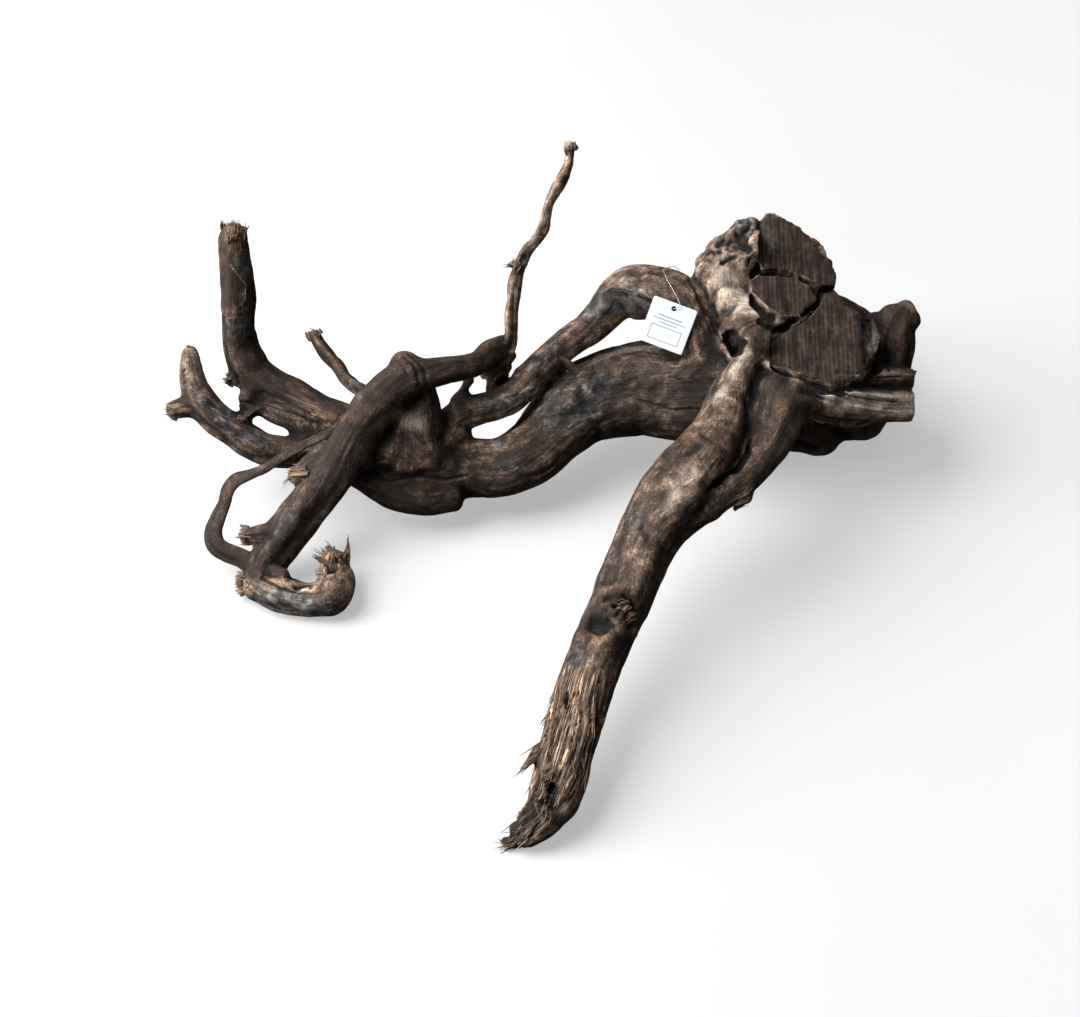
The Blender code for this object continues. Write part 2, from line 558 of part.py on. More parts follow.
def splinters():
    """Four-sided spikes at every torn end, each with its root sunk in the wood."""
    draw = random.Random(SPLINTER_SEED)
    things = []
    for number, (start, towards, width, length, count) in enumerate(TORN_ENDS):
        base = sighted(*start)
        aim = (sighted(*towards) - base).normalized()
        side = aim.orthogonal().normalized()
        up = aim.cross(side)
        for i in range(count):
            turn = i * 2.39996 + draw.uniform(-0.4, 0.4)
            reach = width * MM * math.sqrt((i + 0.5) / count) * 0.92
            out = side * math.cos(turn) + up * math.sin(turn)
            lean = (aim + out * draw.uniform(0.0, SPLINTER_SPREAD)
                    + side * draw.uniform(-0.12, 0.12)).normalized()
            size = length * MM * draw.uniform(0.6, 1.35)
            thick = draw.uniform(0.85, 1.5) * MM * (0.7 + width * 0.05)
            root = base + out * reach - lean * size * SPLINTER_ROOT_SHARE
            tip = base + out * reach + lean * size
            across = lean.cross(out + lean * 0.1).normalized()
            face = lean.cross(across)
            flat = draw.uniform(0.5, 0.9)
            ring = [root + across * thick, root + face * thick * flat,
                    root - across * thick, root - face * thick * flat]
            faces = [(0, 1, 2, 3), (0, 1, 4), (1, 2, 4), (2, 3, 4), (3, 0, 4)]
            things.append(mesh_object(f"splinter_{number}_{i}", ring + [tip], faces))
    return things


def hang_tag():
    """The card: a thin square with one punched hole near its top edge."""
    left, right, low = (sighted(*p) for p in (TAG_TOP_LEFT, TAG_TOP_RIGHT, TAG_BOTTOM_LEFT))
    across = (right - left).normalized()
    down = (low - left - across * (low - left).dot(across)).normalized()
    front = down.cross(across).normalized()
    if front.z < 0:
        front = -front
    centre = (left + right) / 2
    half = TAG_SIDE_MM * MM / 2
    hole = centre + down * TAG_HOLE_INSET_MM * MM
    outline = []
    corners = [(-1, 0), (-1, 0.5), (-1, 1), (0, 1), (1, 1), (1, 0.5), (1, 0), (0, 0)]
    for a, b in corners:
        outline.append(centre + across * half * a + down * half * 2 * b)
    rim = []
    for a, b in corners:
        aim = across * a + down * (b - 0.5) * 2
        rim.append(hole + aim.normalized() * TAG_HOLE_RADIUS_MM * MM)
    sides = len(corners)
    back = -front * TAG_THICKNESS_MM * MM
    points = outline + rim + [p + back for p in outline + rim]
    faces = []
    for i in range(sides):
        k = (i + 1) % sides
        faces.append((i, k, sides + k, sides + i))
        faces.append((2 * sides + k, 2 * sides + i, 3 * sides + i, 3 * sides + k))
        faces.append((k, i, 2 * sides + i, 2 * sides + k))
        faces.append((sides + i, sides + k, 3 * sides + k, 3 * sides + i))
    return mesh_object("hang_tag", points, faces), hole, front, across, down


def ring_tube(name, path, radius_mm, sides):
    """A closed loop of round section along the path."""
    points, count = [], len(path)
    side = None
    for i, centre in enumerate(path):
        along = (path[(i + 1) % count] - path[i - 1]).normalized()
        side = along.orthogonal() if side is None else side - along * side.dot(along)
        side.normalize()
        up = along.cross(side)
        for j in range(sides):
            turn = math.tau * j / sides
            points.append(centre + (side * math.cos(turn) + up * math.sin(turn)) * radius_mm * MM)
    faces = []
    for i in range(count):
        for j in range(sides):
            k, n = (j + 1) % sides, (i + 1) % count
            faces.append((i * sides + j, i * sides + k, n * sides + k, n * sides + j))
    return mesh_object(name, points, faces)


def tag_loop(hole, front, across, down):
    """The loop: out of the hole, over the card's top edge, round the bough and back in behind."""
    middle = sighted(*LOOP_CENTRE)
    along = (middle - sighted(*LOOP_AXIS_END)).normalized()
    towards_eye = Vector((0, -math.cos(math.radians(VIEW_ELEVATION_DEG)),
                          math.sin(math.radians(VIEW_ELEVATION_DEG))))
    near = (towards_eye - along * towards_eye.dot(along)).normalized()
    below = along.cross(near)
    knots = [hole, hole + front * 1.7 * MM,
             hole - down * (TAG_HOLE_INSET_MM + 1.0) * MM + (across * 3.0 + front * 1.3) * MM]
    for turn, reach in LOOP_ROUND_BOUGH:
        turn = math.radians(turn)
        knots.append(middle + (near * math.cos(turn) + below * math.sin(turn)) * reach * MM)
    knots.append(hole - front * 2.3 * MM)
    count, path = len(knots), []
    for i in range(count):
        a, b, c, d = (knots[(i + k) % count] for k in (-1, 0, 1, 2))
        for t in (0.0, 1 / 3, 2 / 3):
            path.append(0.5 * (2 * b + (c - a) * t + (2 * a - 5 * b + 4 * c - d) * t * t
                               + (3 * b - a - 3 * c + d) * t ** 3))
    return ring_tube("tag_loop", path, LOOP_RADIUS_MM, LOOP_SIDES)


def bogwood_root():
    """The grown root as one solid."""
    thick = {
        "arm": ARM, "foot": FOOT, "limb_one": LIMB_ONE, "limb_one_stub": LIMB_ONE_STUB,
        "limb_two": LIMB_TWO, "limb_two_spur": LIMB_TWO_SPUR, "flat_splinter": FLAT_SPLINTER,
        "torn_slab": TORN_SLAB, "column": LOWER_ARM_COLUMN, "belly": BELLY, "neck": NECK,
        "bough": BOUGH, "leg": LEG, "leg_right_strand": LEG_RIGHT_STRAND,
        "arm_stub": ARM_STUB, "arm_knob": ARM_KNOB, "tip_lump": TIP_LUMP, "back_strut": BACK_STRUT,
        "upper_shelf": UPPER_SHELF, "lower_shelf": LOWER_SHELF, "shelf_fold": SHELF_FOLD,
        "horn": HORN, "horn_left": HORN_LEFT, "back_buttress": BACK_BUTTRESS,
        "side_buttress": SIDE_BUTTRESS, "back_stub": BACK_STUB,
        "upper_lobe": UPPER_LOBE, "burl_lobe": BURL_LOBE,
    }
    thin = {
        "twig_tall": TWIG_TALL, "twig_spur": TWIG_SPUR, "twig_curled": TWIG_CURLED,
        "twig_three": TWIG_THREE, "strand_left": STRAND_LEFT, "strand_middle": STRAND_MIDDLE,
        "strand_right": STRAND_RIGHT, "leg_nib": LEG_NIB, "leg_spike": LEG_SPIKE,
        "neck_spike": NECK_SPIKE, "foot_spike": FOOT_SPIKE,
    }
    lobes = {
        "upper_sawn_lobe": UPPER_SAWN_LOBE, "oval_sawn_lobe": OVAL_SAWN_LOBE,
        "lower_sawn_lobe": LOWER_SAWN_LOBE,
    }
    pieces = [limb(name, stations, 18, 6) for name, stations in thick.items()]
    pieces += [knob(f"knob_{i}", *where) for i, where in enumerate(KNOBS)]
    pieces.append(stump())
    body = fused_skin(pieces)
    body.name = "bogwood_root"
    combined(body, [saw_cutter()], "DIFFERENCE")
    added = [limb(name, stations, 8, 11) for name, stations in thin.items()]
    added += [sawn_lobe(name, outline) for name, outline in lobes.items()]
    combined(body, added, "UNION")
    cutters = [floor_cutter(), shelf_end_cutter()]
    cutters += [crack_cutter(f"crack_{i}", *crack) for i, crack in enumerate(CRACKS)]
    cutters += [knob(f"hollow_{i}", *where) for i, where in enumerate(HOLLOWS)]
    combined(body, cutters, "DIFFERENCE")
    return without_chips(combined(body, splinters(), "UNION"))


def painted(thing, name, colour, roughness):
    """Gives the object its own plain material."""
    material = bpy.data.materials.new(name)
    material.use_nodes = True
    surface = material.node_tree.nodes["Principled BSDF"]
    surface.inputs["Base Color"].default_value = (*colour, 1)
    surface.inputs["Roughness"].default_value = roughness
    surface.inputs["Metallic"].default_value = 0.0
    thing.data.materials.clear()
    thing.data.materials.append(material)


for leftover in list(bpy.data.objects):
    bpy.data.objects.remove(leftover)

root = bogwood_root()
painted(root, "bog_wood", (0.10, 0.066, 0.045), 0.85)
tag, hole_centre, tag_front, tag_across, tag_down = hang_tag()
painted(tag, "white_card", (0.82, 0.83, 0.84), 0.6)
loop = tag_loop(hole_centre, tag_front, tag_across, tag_down)
painted(loop, "clear_plastic", (0.75, 0.75, 0.74), 0.3)
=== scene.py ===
"""The bogwood root's looks: its weathered skin, sawn faces, torn fibres, blank card and clear loop."""

import math
import random
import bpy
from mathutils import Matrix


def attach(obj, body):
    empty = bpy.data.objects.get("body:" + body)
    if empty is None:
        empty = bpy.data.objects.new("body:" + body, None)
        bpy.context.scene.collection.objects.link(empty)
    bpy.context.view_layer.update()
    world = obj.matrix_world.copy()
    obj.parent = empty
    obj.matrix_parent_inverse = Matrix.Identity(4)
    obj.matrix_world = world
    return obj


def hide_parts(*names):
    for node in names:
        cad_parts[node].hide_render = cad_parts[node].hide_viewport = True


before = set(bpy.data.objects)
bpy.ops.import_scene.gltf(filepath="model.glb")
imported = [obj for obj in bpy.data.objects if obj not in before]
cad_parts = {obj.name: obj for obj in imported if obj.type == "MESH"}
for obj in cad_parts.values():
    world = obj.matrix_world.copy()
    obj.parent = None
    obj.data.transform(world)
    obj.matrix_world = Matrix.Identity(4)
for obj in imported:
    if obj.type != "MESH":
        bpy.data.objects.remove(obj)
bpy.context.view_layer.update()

from types import SimpleNamespace

import bmesh
import bpy
import numpy as np
from mathutils import Vector
from mathutils.bvhtree import BVHTree
from mathutils.kdtree import KDTree

MM = 0.001

# The picture that the stations are stated in
PICTURE_CENTRE_X = 540.0
PICTURE_CENTRE_Y = 508.5
PICTURE_SCALE_MM = 0.9
PICTURE_WIDTH = 1080
VIEW_DISTANCE_MM = 1600.0
VIEW_ELEVATION_DEG = 50.0
CENTRE_SHIFT_MM = (-3.2, 59.0, 0.0)

# How finely the wood is made
ROUGH_VOXEL_MM = 2.6
SKIN_VOXEL_MM = 1.5
SKIN_TRIANGLES = 190000

# Sides round a limb and mm between its rings, by how thick it is
THICK_DETAIL = (36, 4)
FLANK_DETAIL = (24, 3)
THIN_DETAIL = (20, 3)
CHUNK_DETAIL = (12, 2)
ROUGH_SMOOTHING = 4
SKIN_SMOOTHING = 2

# How deep the ridges along a limb are, as a share of its radius
SMOOTH_FLUTE = 0.06
ROUGH_FLUTE = 0.12

# Thick limbs, each from its free end to where it joins: picture x, y, height and radius in mm. The
# picture doesn't show the buttresses and the broken stub low on the stump's back
THICK_LIMBS = {
    "arm": [(512, 341, 135, 6), (503, 344, 135, 9.5), (490, 352, 136, 11), (475, 364, 137, 11),
        (460, 369, 139, 11.5), (445, 370, 141, 12), (430, 373, 142, 13), (414, 376, 142, 15),
        (396, 386, 134, 17), (377, 405, 119, 18), (363, 425, 105, 18), (350, 445, 92, 18),
        (338, 465, 80, 17.5), (323, 486, 70, 17), (307, 507, 60, 17), (290, 528, 48, 17),
        (276, 548, 34, 16), (266, 564, 24, 15), (262, 580, 17, 14)],
    "foot": [(250, 580, 13, 9), (258, 585, 14, 13), (275, 592, 15, 16), (295, 597, 15, 15.5),
        (315, 599, 16, 15.5), (331, 595, 18, 18), (337, 581, 22, 16), (334, 566, 27, 13.5),
        (335, 556, 30, 11)],
    "limb_one": [(190, 347, 132, 6), (190, 352, 130, 9), (191, 365, 125, 11), (193, 380, 118, 12.5),
        (200, 397, 108, 15), (214, 414, 98, 15.5), (230, 427, 88, 15.5), (243, 436, 80, 16),
        (258, 445, 73, 15.5), (276, 451, 67, 15), (296, 452, 64, 15), (316, 448, 64, 15),
        (338, 442, 66, 17), (362, 440, 68, 20)],
    "limb_one_stub": [(170, 411, 104, 6.5), (180, 408, 104, 8), (193, 404, 104, 10), (206, 405, 103, 11)],
    "limb_two": [(233, 226, 226, 8), (233, 236, 218, 11.5), (235, 252, 205, 13), (238, 275, 187, 13.5),
        (239, 300, 166, 14), (238, 325, 145, 13.5), (240, 347, 126, 15), (252, 371, 108, 16.5),
        (270, 385, 99, 16), (292, 397, 92, 15), (318, 411, 86, 15), (345, 425, 80, 17)],
    "limb_two_spur": [(229, 379, 106, 5.5), (238, 378, 106, 7.5), (252, 378, 104, 9)],
    "flat_splinter": [(238, 422, 92, 4.5), (250, 413, 94, 6), (264, 406, 95, 7), (282, 412, 92, 9),
        (302, 424, 84, 10), (324, 432, 76, 12)],
    "torn_slab": [(256, 409, 92, 4), (268, 414, 91, 7), (284, 419, 88, 8.5), (302, 424, 84, 9.5),
        (326, 430, 78, 12)],
    "column": [(416, 386, 124, 17), (414, 406, 104, 24), (414, 430, 82, 27), (420, 458, 58, 31)],
    "belly": [(352, 462, 66, 19), (372, 466, 54, 25), (398, 472, 45, 31), (424, 475, 41, 33),
        (450, 470, 41, 33)],
    "neck": [(440, 466, 42, 30), (470, 466, 43, 28), (500, 466, 45, 28), (522, 456, 49, 29),
        (540, 443, 54, 30), (558, 424, 61, 33), (577, 405, 68, 37), (603, 394, 74, 39), (640, 387, 79, 41),
        (682, 388, 84, 44), (725, 384, 88, 48), (765, 380, 90, 50)],
    "bough": [(444, 436, 66, 20), (460, 416, 80, 15), (480, 408, 87, 14), (500, 403, 92, 14),
        (518, 392, 98, 14), (533, 375, 104, 14), (550, 358, 109, 14), (568, 343, 114, 14.5),
        (588, 329, 120, 15.5), (602, 315, 127, 17), (614, 300, 134, 20), (630, 292, 141, 23),
        (650, 292, 147, 24), (668, 296, 150, 24), (684, 308, 146, 24), (694, 328, 136, 24),
        (699, 352, 120, 26), (702, 378, 100, 29)],
    "leg": [(506, 847, 2, 4), (514, 843, 4, 7), (527, 834, 9, 12), (543, 818, 16, 17), (555, 798, 24, 20.5),
        (562, 775, 31, 22), (568, 748, 39, 22.5), (576, 720, 46, 23), (584, 692, 54, 23.5),
        (594, 664, 62, 24), (606, 637, 70, 25), (618, 609, 79, 26), (630, 580, 88, 26.5),
        (642, 552, 97, 27), (655, 525, 107, 30), (672, 500, 116, 33), (691, 476, 124, 33),
        (708, 452, 130, 30), (721, 427, 136, 24), (729, 402, 140, 19.5), (738, 379, 143, 17),
        (752, 362, 145, 15), (774, 354, 142, 17)],
    "leg_right_strand": [(656, 548, 98, 9), (680, 524, 108, 14), (706, 506, 116, 15.5),
        (733, 486, 122, 15.5), (755, 464, 127, 17.5), (769, 440, 131, 20.5), (777, 415, 134, 24),
        (784, 394, 132, 26), (794, 374, 122, 27)],
    "arm_stub": [(290, 479, 74, 6), (300, 472, 78, 7.5), (312, 463, 83, 8.5), (326, 453, 88, 9),
        (344, 442, 93, 9)],
    "arm_knob": [(244, 536, 46, 5.5), (252, 535, 47, 7.5), (266, 533, 48, 9), (284, 531, 48, 10)],
    "tip_lump": [(513, 352, 126, 6), (503, 360, 121, 7.5), (494, 366, 119, 7.5), (486, 370, 121, 7)],
    "back_strut": [(470, 378, 118, 6), (464, 390, 102, 5.5), (456, 402, 90, 7)],
    "upper_shelf": [(920, 377, 116, 7), (900, 376, 118, 8.5), (876, 375, 122, 10), (850, 377, 124, 13),
        (822, 380, 122, 20)],
    "lower_shelf": [(918, 405, 96, 13), (898, 406, 100, 14), (874, 405, 108, 15), (848, 401, 118, 16),
        (824, 393, 126, 19), (802, 384, 130, 22)],
    "shelf_fold": [(868, 418, 92, 9), (848, 413, 102, 13), (828, 405, 114, 16), (806, 395, 124, 20)],
    "horn": [(909, 303, 158, 6), (903, 315, 150, 12), (898, 333, 138, 15), (896, 352, 124, 15),
        (886, 376, 104, 20)],
    "horn_left": [(868, 316, 140, 5), (878, 322, 138, 10), (884, 340, 128, 13), (878, 364, 110, 18)],
    "back_buttress": [(764, 346, 2, 20), (768, 326, 36, 26), (772, 306, 84, 27), (778, 290, 128, 24)],
    "side_buttress": [(858, 354, 2, 18), (854, 340, 34, 24), (844, 326, 74, 26), (828, 318, 112, 23)],
    "back_stub": [(812, 294, 50, 10), (811, 304, 51, 14), (808, 326, 54, 22)],
    "upper_lobe": [(790, 246, 206, 29), (788, 254, 194, 33), (784, 278, 162, 40), (780, 306, 126, 50),
        (780, 334, 84, 60), (790, 362, 40, 66), (796, 378, 14, 52)],
    "burl_lobe": [(728, 254, 184, 18), (731, 269, 172, 27), (735, 295, 146, 34), (755, 334, 100, 45),
        (768, 364, 56, 52), (776, 392, 18, 44)],
}

# The saw cut that ends both shelves, then its cutter's size and lean in metres
SHELF_END_X_MM = 321.0
SHELF_CUTTER_WIDTH = 0.1
SHELF_CUTTER_FRONT = -0.05
SHELF_CUTTER_BACK = 0.08
SHELF_CUTTER_FOOT = 0.05
SHELF_CUTTER_RISE = (0.004, 0, 0.073)


# Rounded knobs: picture x, y, height and radius in mm
KNOBS = [
    (891, 316, 150, 12), (912, 320, 148, 9), (736, 308, 156, 21), (760, 356, 146, 11), (724, 250, 180, 14),
    (708, 266, 165, 11.5), (742, 238, 190, 15), (735, 262, 180, 17), (710, 290, 152, 16),
    (752, 230, 196, 13), (724, 284, 162, 18), (748, 262, 184, 15), (728, 318, 142, 17), (748, 308, 154, 15),
    (776, 392, 144, 17), (405, 364, 148, 12), (246, 398, 102, 9), (655, 286, 158, 14), (333, 592, 21, 16.5),
    (362, 452, 78, 18), (388, 448, 76, 20), (412, 446, 72, 19), (448, 436, 70, 18), (706, 508, 112, 15),
    (743, 494, 122, 10), (571, 400, 90, 14), (601, 368, 92, 14), (622, 606, 96, 13), (256, 588, 15, 12),
    (240, 381, 107, 8),
]

# The stump's level slices: picture x and y of the centre, height, half width and half depth in mm
STUMP_SLICES = [
    (806, 404, -7, 56, 54), (806, 400, 3, 70, 70), (806, 388, 24, 78, 84), (805, 372, 60, 80, 74),
    (802, 350, 100, 84, 58), (798, 334, 140, 70, 54), (792, 316, 164, 56, 48), (790, 308, 176, 44, 40),
]
STUMP_RING_SIDES = 36

# Ridges down the stump: how many, share of the radius, where they start, and turn for each mm of rise
STUMP_RIDGES = [(3, 0.05, 0.8, 0.006), (5, 0.05, 2.1, -0.009), (9, 0.035, 0.4, 0.012)]

# Sawn faces: outlines in the picture, on one plane that leans towards the viewer
SAW_PLANE_X = 820.0
SAW_PLANE_Y = 340.0
SAW_PLANE_HEIGHT_MM = 160.0
SAW_TILT_DEG = 22.0
SAW_CUTTER_RISE_MM = 90.0
SAWN_LOBE_RISE_MM = 9.0
SAWN_LOBE_DEPTH_MM = 58.0
SAWN_LOBE_FOOT_SHARE = 0.86
SAWN_AREA = [
    (757, 200), (790, 196), (850, 214), (866, 268), (862, 286), (850, 290), (870, 312), (892, 338),
    (889, 356), (868, 380), (846, 396), (818, 396), (780, 384), (768, 372), (768, 350), (764, 332),
    (748, 312), (748, 276), (755, 268),
]
UPPER_SAWN_LOBE = [
    (757, 222), (768, 212), (783, 217), (800, 227), (813, 240), (820, 252), (832, 260), (838, 274),
    (836, 285), (826, 288), (815, 284), (801, 276), (783, 270), (760, 269), (757, 246),
]
OVAL_SAWN_LOBE = [
    (750, 280), (758, 274), (772, 273), (788, 274), (803, 280), (813, 288), (817, 297), (815, 305),
    (805, 312), (792, 315), (779, 314), (767, 308), (757, 299), (751, 290),
]
LOWER_SAWN_LOBE = [
    (760, 358), (768, 344), (780, 333), (796, 325), (811, 315), (820, 303), (822, 292), (837, 289),
    (843, 302), (858, 311), (874, 317), (880, 336), (879, 353), (867, 368), (850, 381), (832, 385),
    (811, 379), (794, 371), (774, 365),
]

# Cracks: picture points with height, then width and depth in mm
CRACKS = [
    ([(746, 275, 182), (764, 271, 184), (786, 272, 184), (804, 279, 181), (818, 287, 178),
      (832, 288, 177)], 2.2, 22),
    ([(838, 288, 177), (822, 290, 176), (818, 303, 170), (804, 315, 166), (784, 326, 162),
      (770, 333, 158)], 3.8, 24),
    ([(756, 322, 170), (767, 325, 170), (778, 328, 166), (792, 325, 162)], 7.5, 20),
    ([(723, 332, 162), (732, 341, 162), (743, 351, 160)], 14, 36),
    ([(872, 305, 166), (873, 330, 150), (874, 356, 136), (872, 376, 122)], 8, 24),
    ([(912, 392, 100), (884, 391, 102), (852, 388, 104), (822, 386, 108)], 7, 26),
    ([(370, 473, 68), (384, 480, 70), (398, 478, 71), (412, 484, 71), (430, 479, 71), (444, 481, 71),
      (460, 471, 70)], 5, 16),
    ([(756, 368, 168), (749, 390, 160), (747, 406, 154), (751, 432, 148), (749, 452, 142), (737, 470, 138),
      (714, 484, 134), (688, 499, 128)], 6, 14),
    ([(552, 776, 58), (550, 792, 52), (554, 812, 44)], 13, 18),
    ([(612, 602, 108), (622, 613, 106), (634, 622, 104)], 13, 13),
    ([(588, 366, 112), (584, 384, 110), (590, 402, 110)], 4, 8),
    ([(258, 594, 34), (282, 590, 36), (310, 578, 38)], 6, 10),
    ([(274, 404, 116), (300, 412, 112), (328, 416, 108)], 5, 10),
    ([(280, 396, 120), (304, 400, 114), (330, 408, 110)], 4, 9),
    ([(232, 246, 226), (233, 280, 200), (232, 316, 172), (236, 350, 144)], 4, 7),
    ([(408, 362, 164), (417, 372, 162), (424, 386, 158)], 4, 7),
    ([(216, 406, 118), (236, 418, 110), (260, 432, 98)], 5, 6),
    ([(512, 462, 78), (546, 448, 86), (580, 428, 98), (612, 416, 108)], 4, 7),
    ([(620, 286, 164), (648, 280, 172), (680, 288, 178)], 4, 6),
    ([(600, 690, 84), (586, 730, 74), (578, 768, 64)], 4, 7),
    ([(652, 560, 124), (628, 616, 106), (612, 652, 94)], 4, 7),
]

# A crack's cutter: its wander and its lips and floor as shares of its width, how far its ends shrink, how
# its width varies between, and how far above its points it starts, in metres
CRACK_WANDER = 0.16
CRACK_LIP_SHARE = 1.5
CRACK_FLOOR_SHARE = 0.3
CRACK_END_SHARE = 0.35
CRACK_SHARES = (0.8, 1.1)
CRACK_LIFT = 0.012

# Hollows: picture point with height, then radius in mm
HOLLOWS = [(622, 612, 106, 11), (552, 800, 52, 10), (400, 420, 132, 9), (870, 342, 140, 9)]

# Thin twigs that are fused on after the thick limbs
THIN_TWIGS = {
    "twig_tall": [(570, 142, 318, 4.4), (570, 150, 311, 4.2), (568, 165, 299, 3.8), (562, 178, 288, 4.2),
        (555, 190, 277, 4.0), (549, 203, 266, 4.0), (545, 217, 254, 4.5), (543, 228, 245, 4.8),
        (535, 240, 233, 4.5), (526, 251, 222, 5.0), (521, 262, 212, 5.4), (517, 273, 202, 4.5),
        (514, 286, 190, 4.6), (512, 301, 176, 4.8), (511, 316, 163, 5.6), (511, 331, 150, 6.0),
        (509, 346, 135, 6.5), (500, 356, 125, 6.0)],
    "twig_spur": [(507, 265, 212, 1.6), (514, 265, 211, 2.6), (523, 266, 209, 4.0)],
    "twig_curled": [(345, 413, 98, 2.8), (339, 426, 96, 3.6), (322, 436, 92, 4.0), (300, 447, 86, 4.2),
        (284, 457, 82, 4.2), (268, 467, 78, 4.2), (250, 475, 72, 4.6), (236, 480, 67, 5.4),
        (228, 490, 61, 5.4), (225, 503, 54, 5.4), (219, 517, 47, 6.2), (215, 531, 40, 6.8),
        (217, 544, 34, 7.4), (226, 552, 30, 7.2), (240, 558, 27, 6.8), (253, 565, 25, 7.2),
        (268, 574, 24, 8.0), (284, 582, 22, 8.5)],
    "twig_three": [(313, 333, 130, 5.4), (320, 344, 124, 5.6), (328, 355, 118, 6.0), (338, 366, 113, 6.2),
        (344, 377, 111, 6.4), (352, 384, 110, 6.6), (366, 393, 112, 7.0), (384, 401, 121, 8.0)],
    "strand_left": [(494, 367, 120, 4.4), (487, 372, 112, 3.8), (482, 377, 104, 2.4)],
    "strand_middle": [(500, 370, 117, 4.2), (493, 380, 106, 3.8), (487, 390, 95, 2.2)],
    "strand_right": [(507, 366, 118, 4.4), (502, 378, 106, 4.0), (497, 390, 94, 2.2)],
    "leg_nib": [(602, 722, 56, 2.0), (597, 715, 58, 4.2), (588, 706, 58, 6.5)],
    "leg_spike": [(520, 771, 40, 1.2), (532, 761, 42, 3.0), (546, 748, 44, 5.5)],
    "neck_spike": [(561, 356, 118, 1.4), (569, 364, 112, 3.2), (580, 375, 103, 5.5)],
    "foot_spike": [(348, 534, 44, 1.2), (348, 545, 38, 2.6), (345, 560, 30, 4.5)],
}

# Torn ends: picture point with height, a point they reach towards with height, then the width of
# the torn face, the mean splinter length in mm, and the count
TORN_ENDS = [
    ((235, 238, 216), (234, 222, 232), 10.5, 17, 15),
    ((314, 336, 128), (308, 324, 136), 5.0, 8, 7),
    ((174, 411, 104), (160, 411, 104), 6.0, 8, 9),
    ((304, 475, 79), (288, 478, 76), 7.5, 15, 16),
    ((247, 536, 46), (234, 536, 44), 7.0, 8, 11),
    ((243, 583, 14), (230, 582, 13), 8.5, 8, 14),
    ((331, 568, 27), (306, 559, 30), 12.0, 20, 18),
    ((337, 560, 28), (342, 544, 36), 8.0, 13, 9),
    ((242, 421, 92), (228, 424, 90), 6.0, 9, 8),
    ((230, 379, 106), (220, 378, 106), 5.0, 6, 7),
    ((571, 148, 314), (568, 136, 322), 3.6, 5, 7),
    ((518, 266, 210), (524, 254, 220), 4.6, 7, 8),
    ((500, 370, 112), (490, 388, 96), 6.5, 10, 7),
    ((556, 772, 40), (540, 786, 34), 10.0, 15, 14),
    ((736, 500, 120), (756, 490, 124), 6.5, 11, 10),
    ((624, 611, 96), (612, 622, 98), 8.5, 9, 10),
    ((799, 322, 148), (806, 312, 166), 8.0, 10, 8),
    ((240, 434, 80), (238, 444, 76), 5.0, 7, 6),
]
SPLINTER_SEED = 11
SPLINTER_SPREAD = 0.33

# Hang tag and its loop
TAG_SIDE_MM = 40.0
TAG_THICKNESS_MM = 0.6
TAG_HOLE_RADIUS_MM = 2.2
TAG_HOLE_INSET_MM = 5.0
TAG_TOP_LEFT = (654.7, 295.3, 171.8)
TAG_TOP_RIGHT = (697.5, 311.3, 167.1)
TAG_BOTTOM_LEFT = (639.0, 337.0, 143.9)
LOOP_RADIUS_MM = 0.6
LOOP_CENTRE = (668, 296, 150)
LOOP_AXIS_END = (650, 292, 147)

# The loop's way round the bough: degrees from the side that faces the viewer, and mm from the centre
LOOP_ROUND_BOUGH = [
    (325, 27.5), (300, 26.5), (270, 26), (240, 27), (210, 29.5), (180, 28), (150, 27), (120, 26.5),
    (90, 27.5), (60, 28), (38, 27),
]

TOWARDS_EYE = Vector((0, -math.cos(math.radians(VIEW_ELEVATION_DEG)),
                      math.sin(math.radians(VIEW_ELEVATION_DEG))))


def sighted(x, y, height_mm):
    """The point at this height that the picture shows at x, y, in metres."""
    focal = VIEW_DISTANCE_MM / PICTURE_SCALE_MM
    tilt = math.radians(VIEW_ELEVATION_DEG)
    across = (x - PICTURE_CENTRE_X) / focal
    up = (PICTURE_CENTRE_Y - y) / focal
    ray = Vector((across, math.cos(tilt) + up * math.sin(tilt), -math.sin(tilt) + up * math.cos(tilt)))
    eye = Vector((0, -math.cos(tilt), math.sin(tilt))) * VIEW_DISTANCE_MM
    travel = (height_mm - eye.z) / ray.z
    return (eye + ray * travel + Vector(CENTRE_SHIFT_MM)) * MM


def saw_normal():
    """The direction that the sawn plane faces."""
    tilt = math.radians(SAW_TILT_DEG)
    return Vector((0, -math.sin(tilt), math.cos(tilt)))


def sighted_on_saw(x, y, lift_mm=0.0):
    """The point that the picture shows at x, y on the sawn plane, or on one parallel to it."""
    base = sighted(SAW_PLANE_X, SAW_PLANE_Y, SAW_PLANE_HEIGHT_MM) + saw_normal() * lift_mm * MM
    near, far = sighted(x, y, 300.0), sighted(x, y, 0.0)
    share = (base - near).dot(saw_normal()) / (far - near).dot(saw_normal())
    return near.lerp(far, share)


def between(a, b, c, d, t):
    """The point at share t from b to c, on a smooth curve through all four."""
    return 0.5 * (2 * b + (c - a) * t + (2 * a - 5 * b + 4 * c - d) * t * t
                  + (3 * b - a - 3 * c + d) * t ** 3)


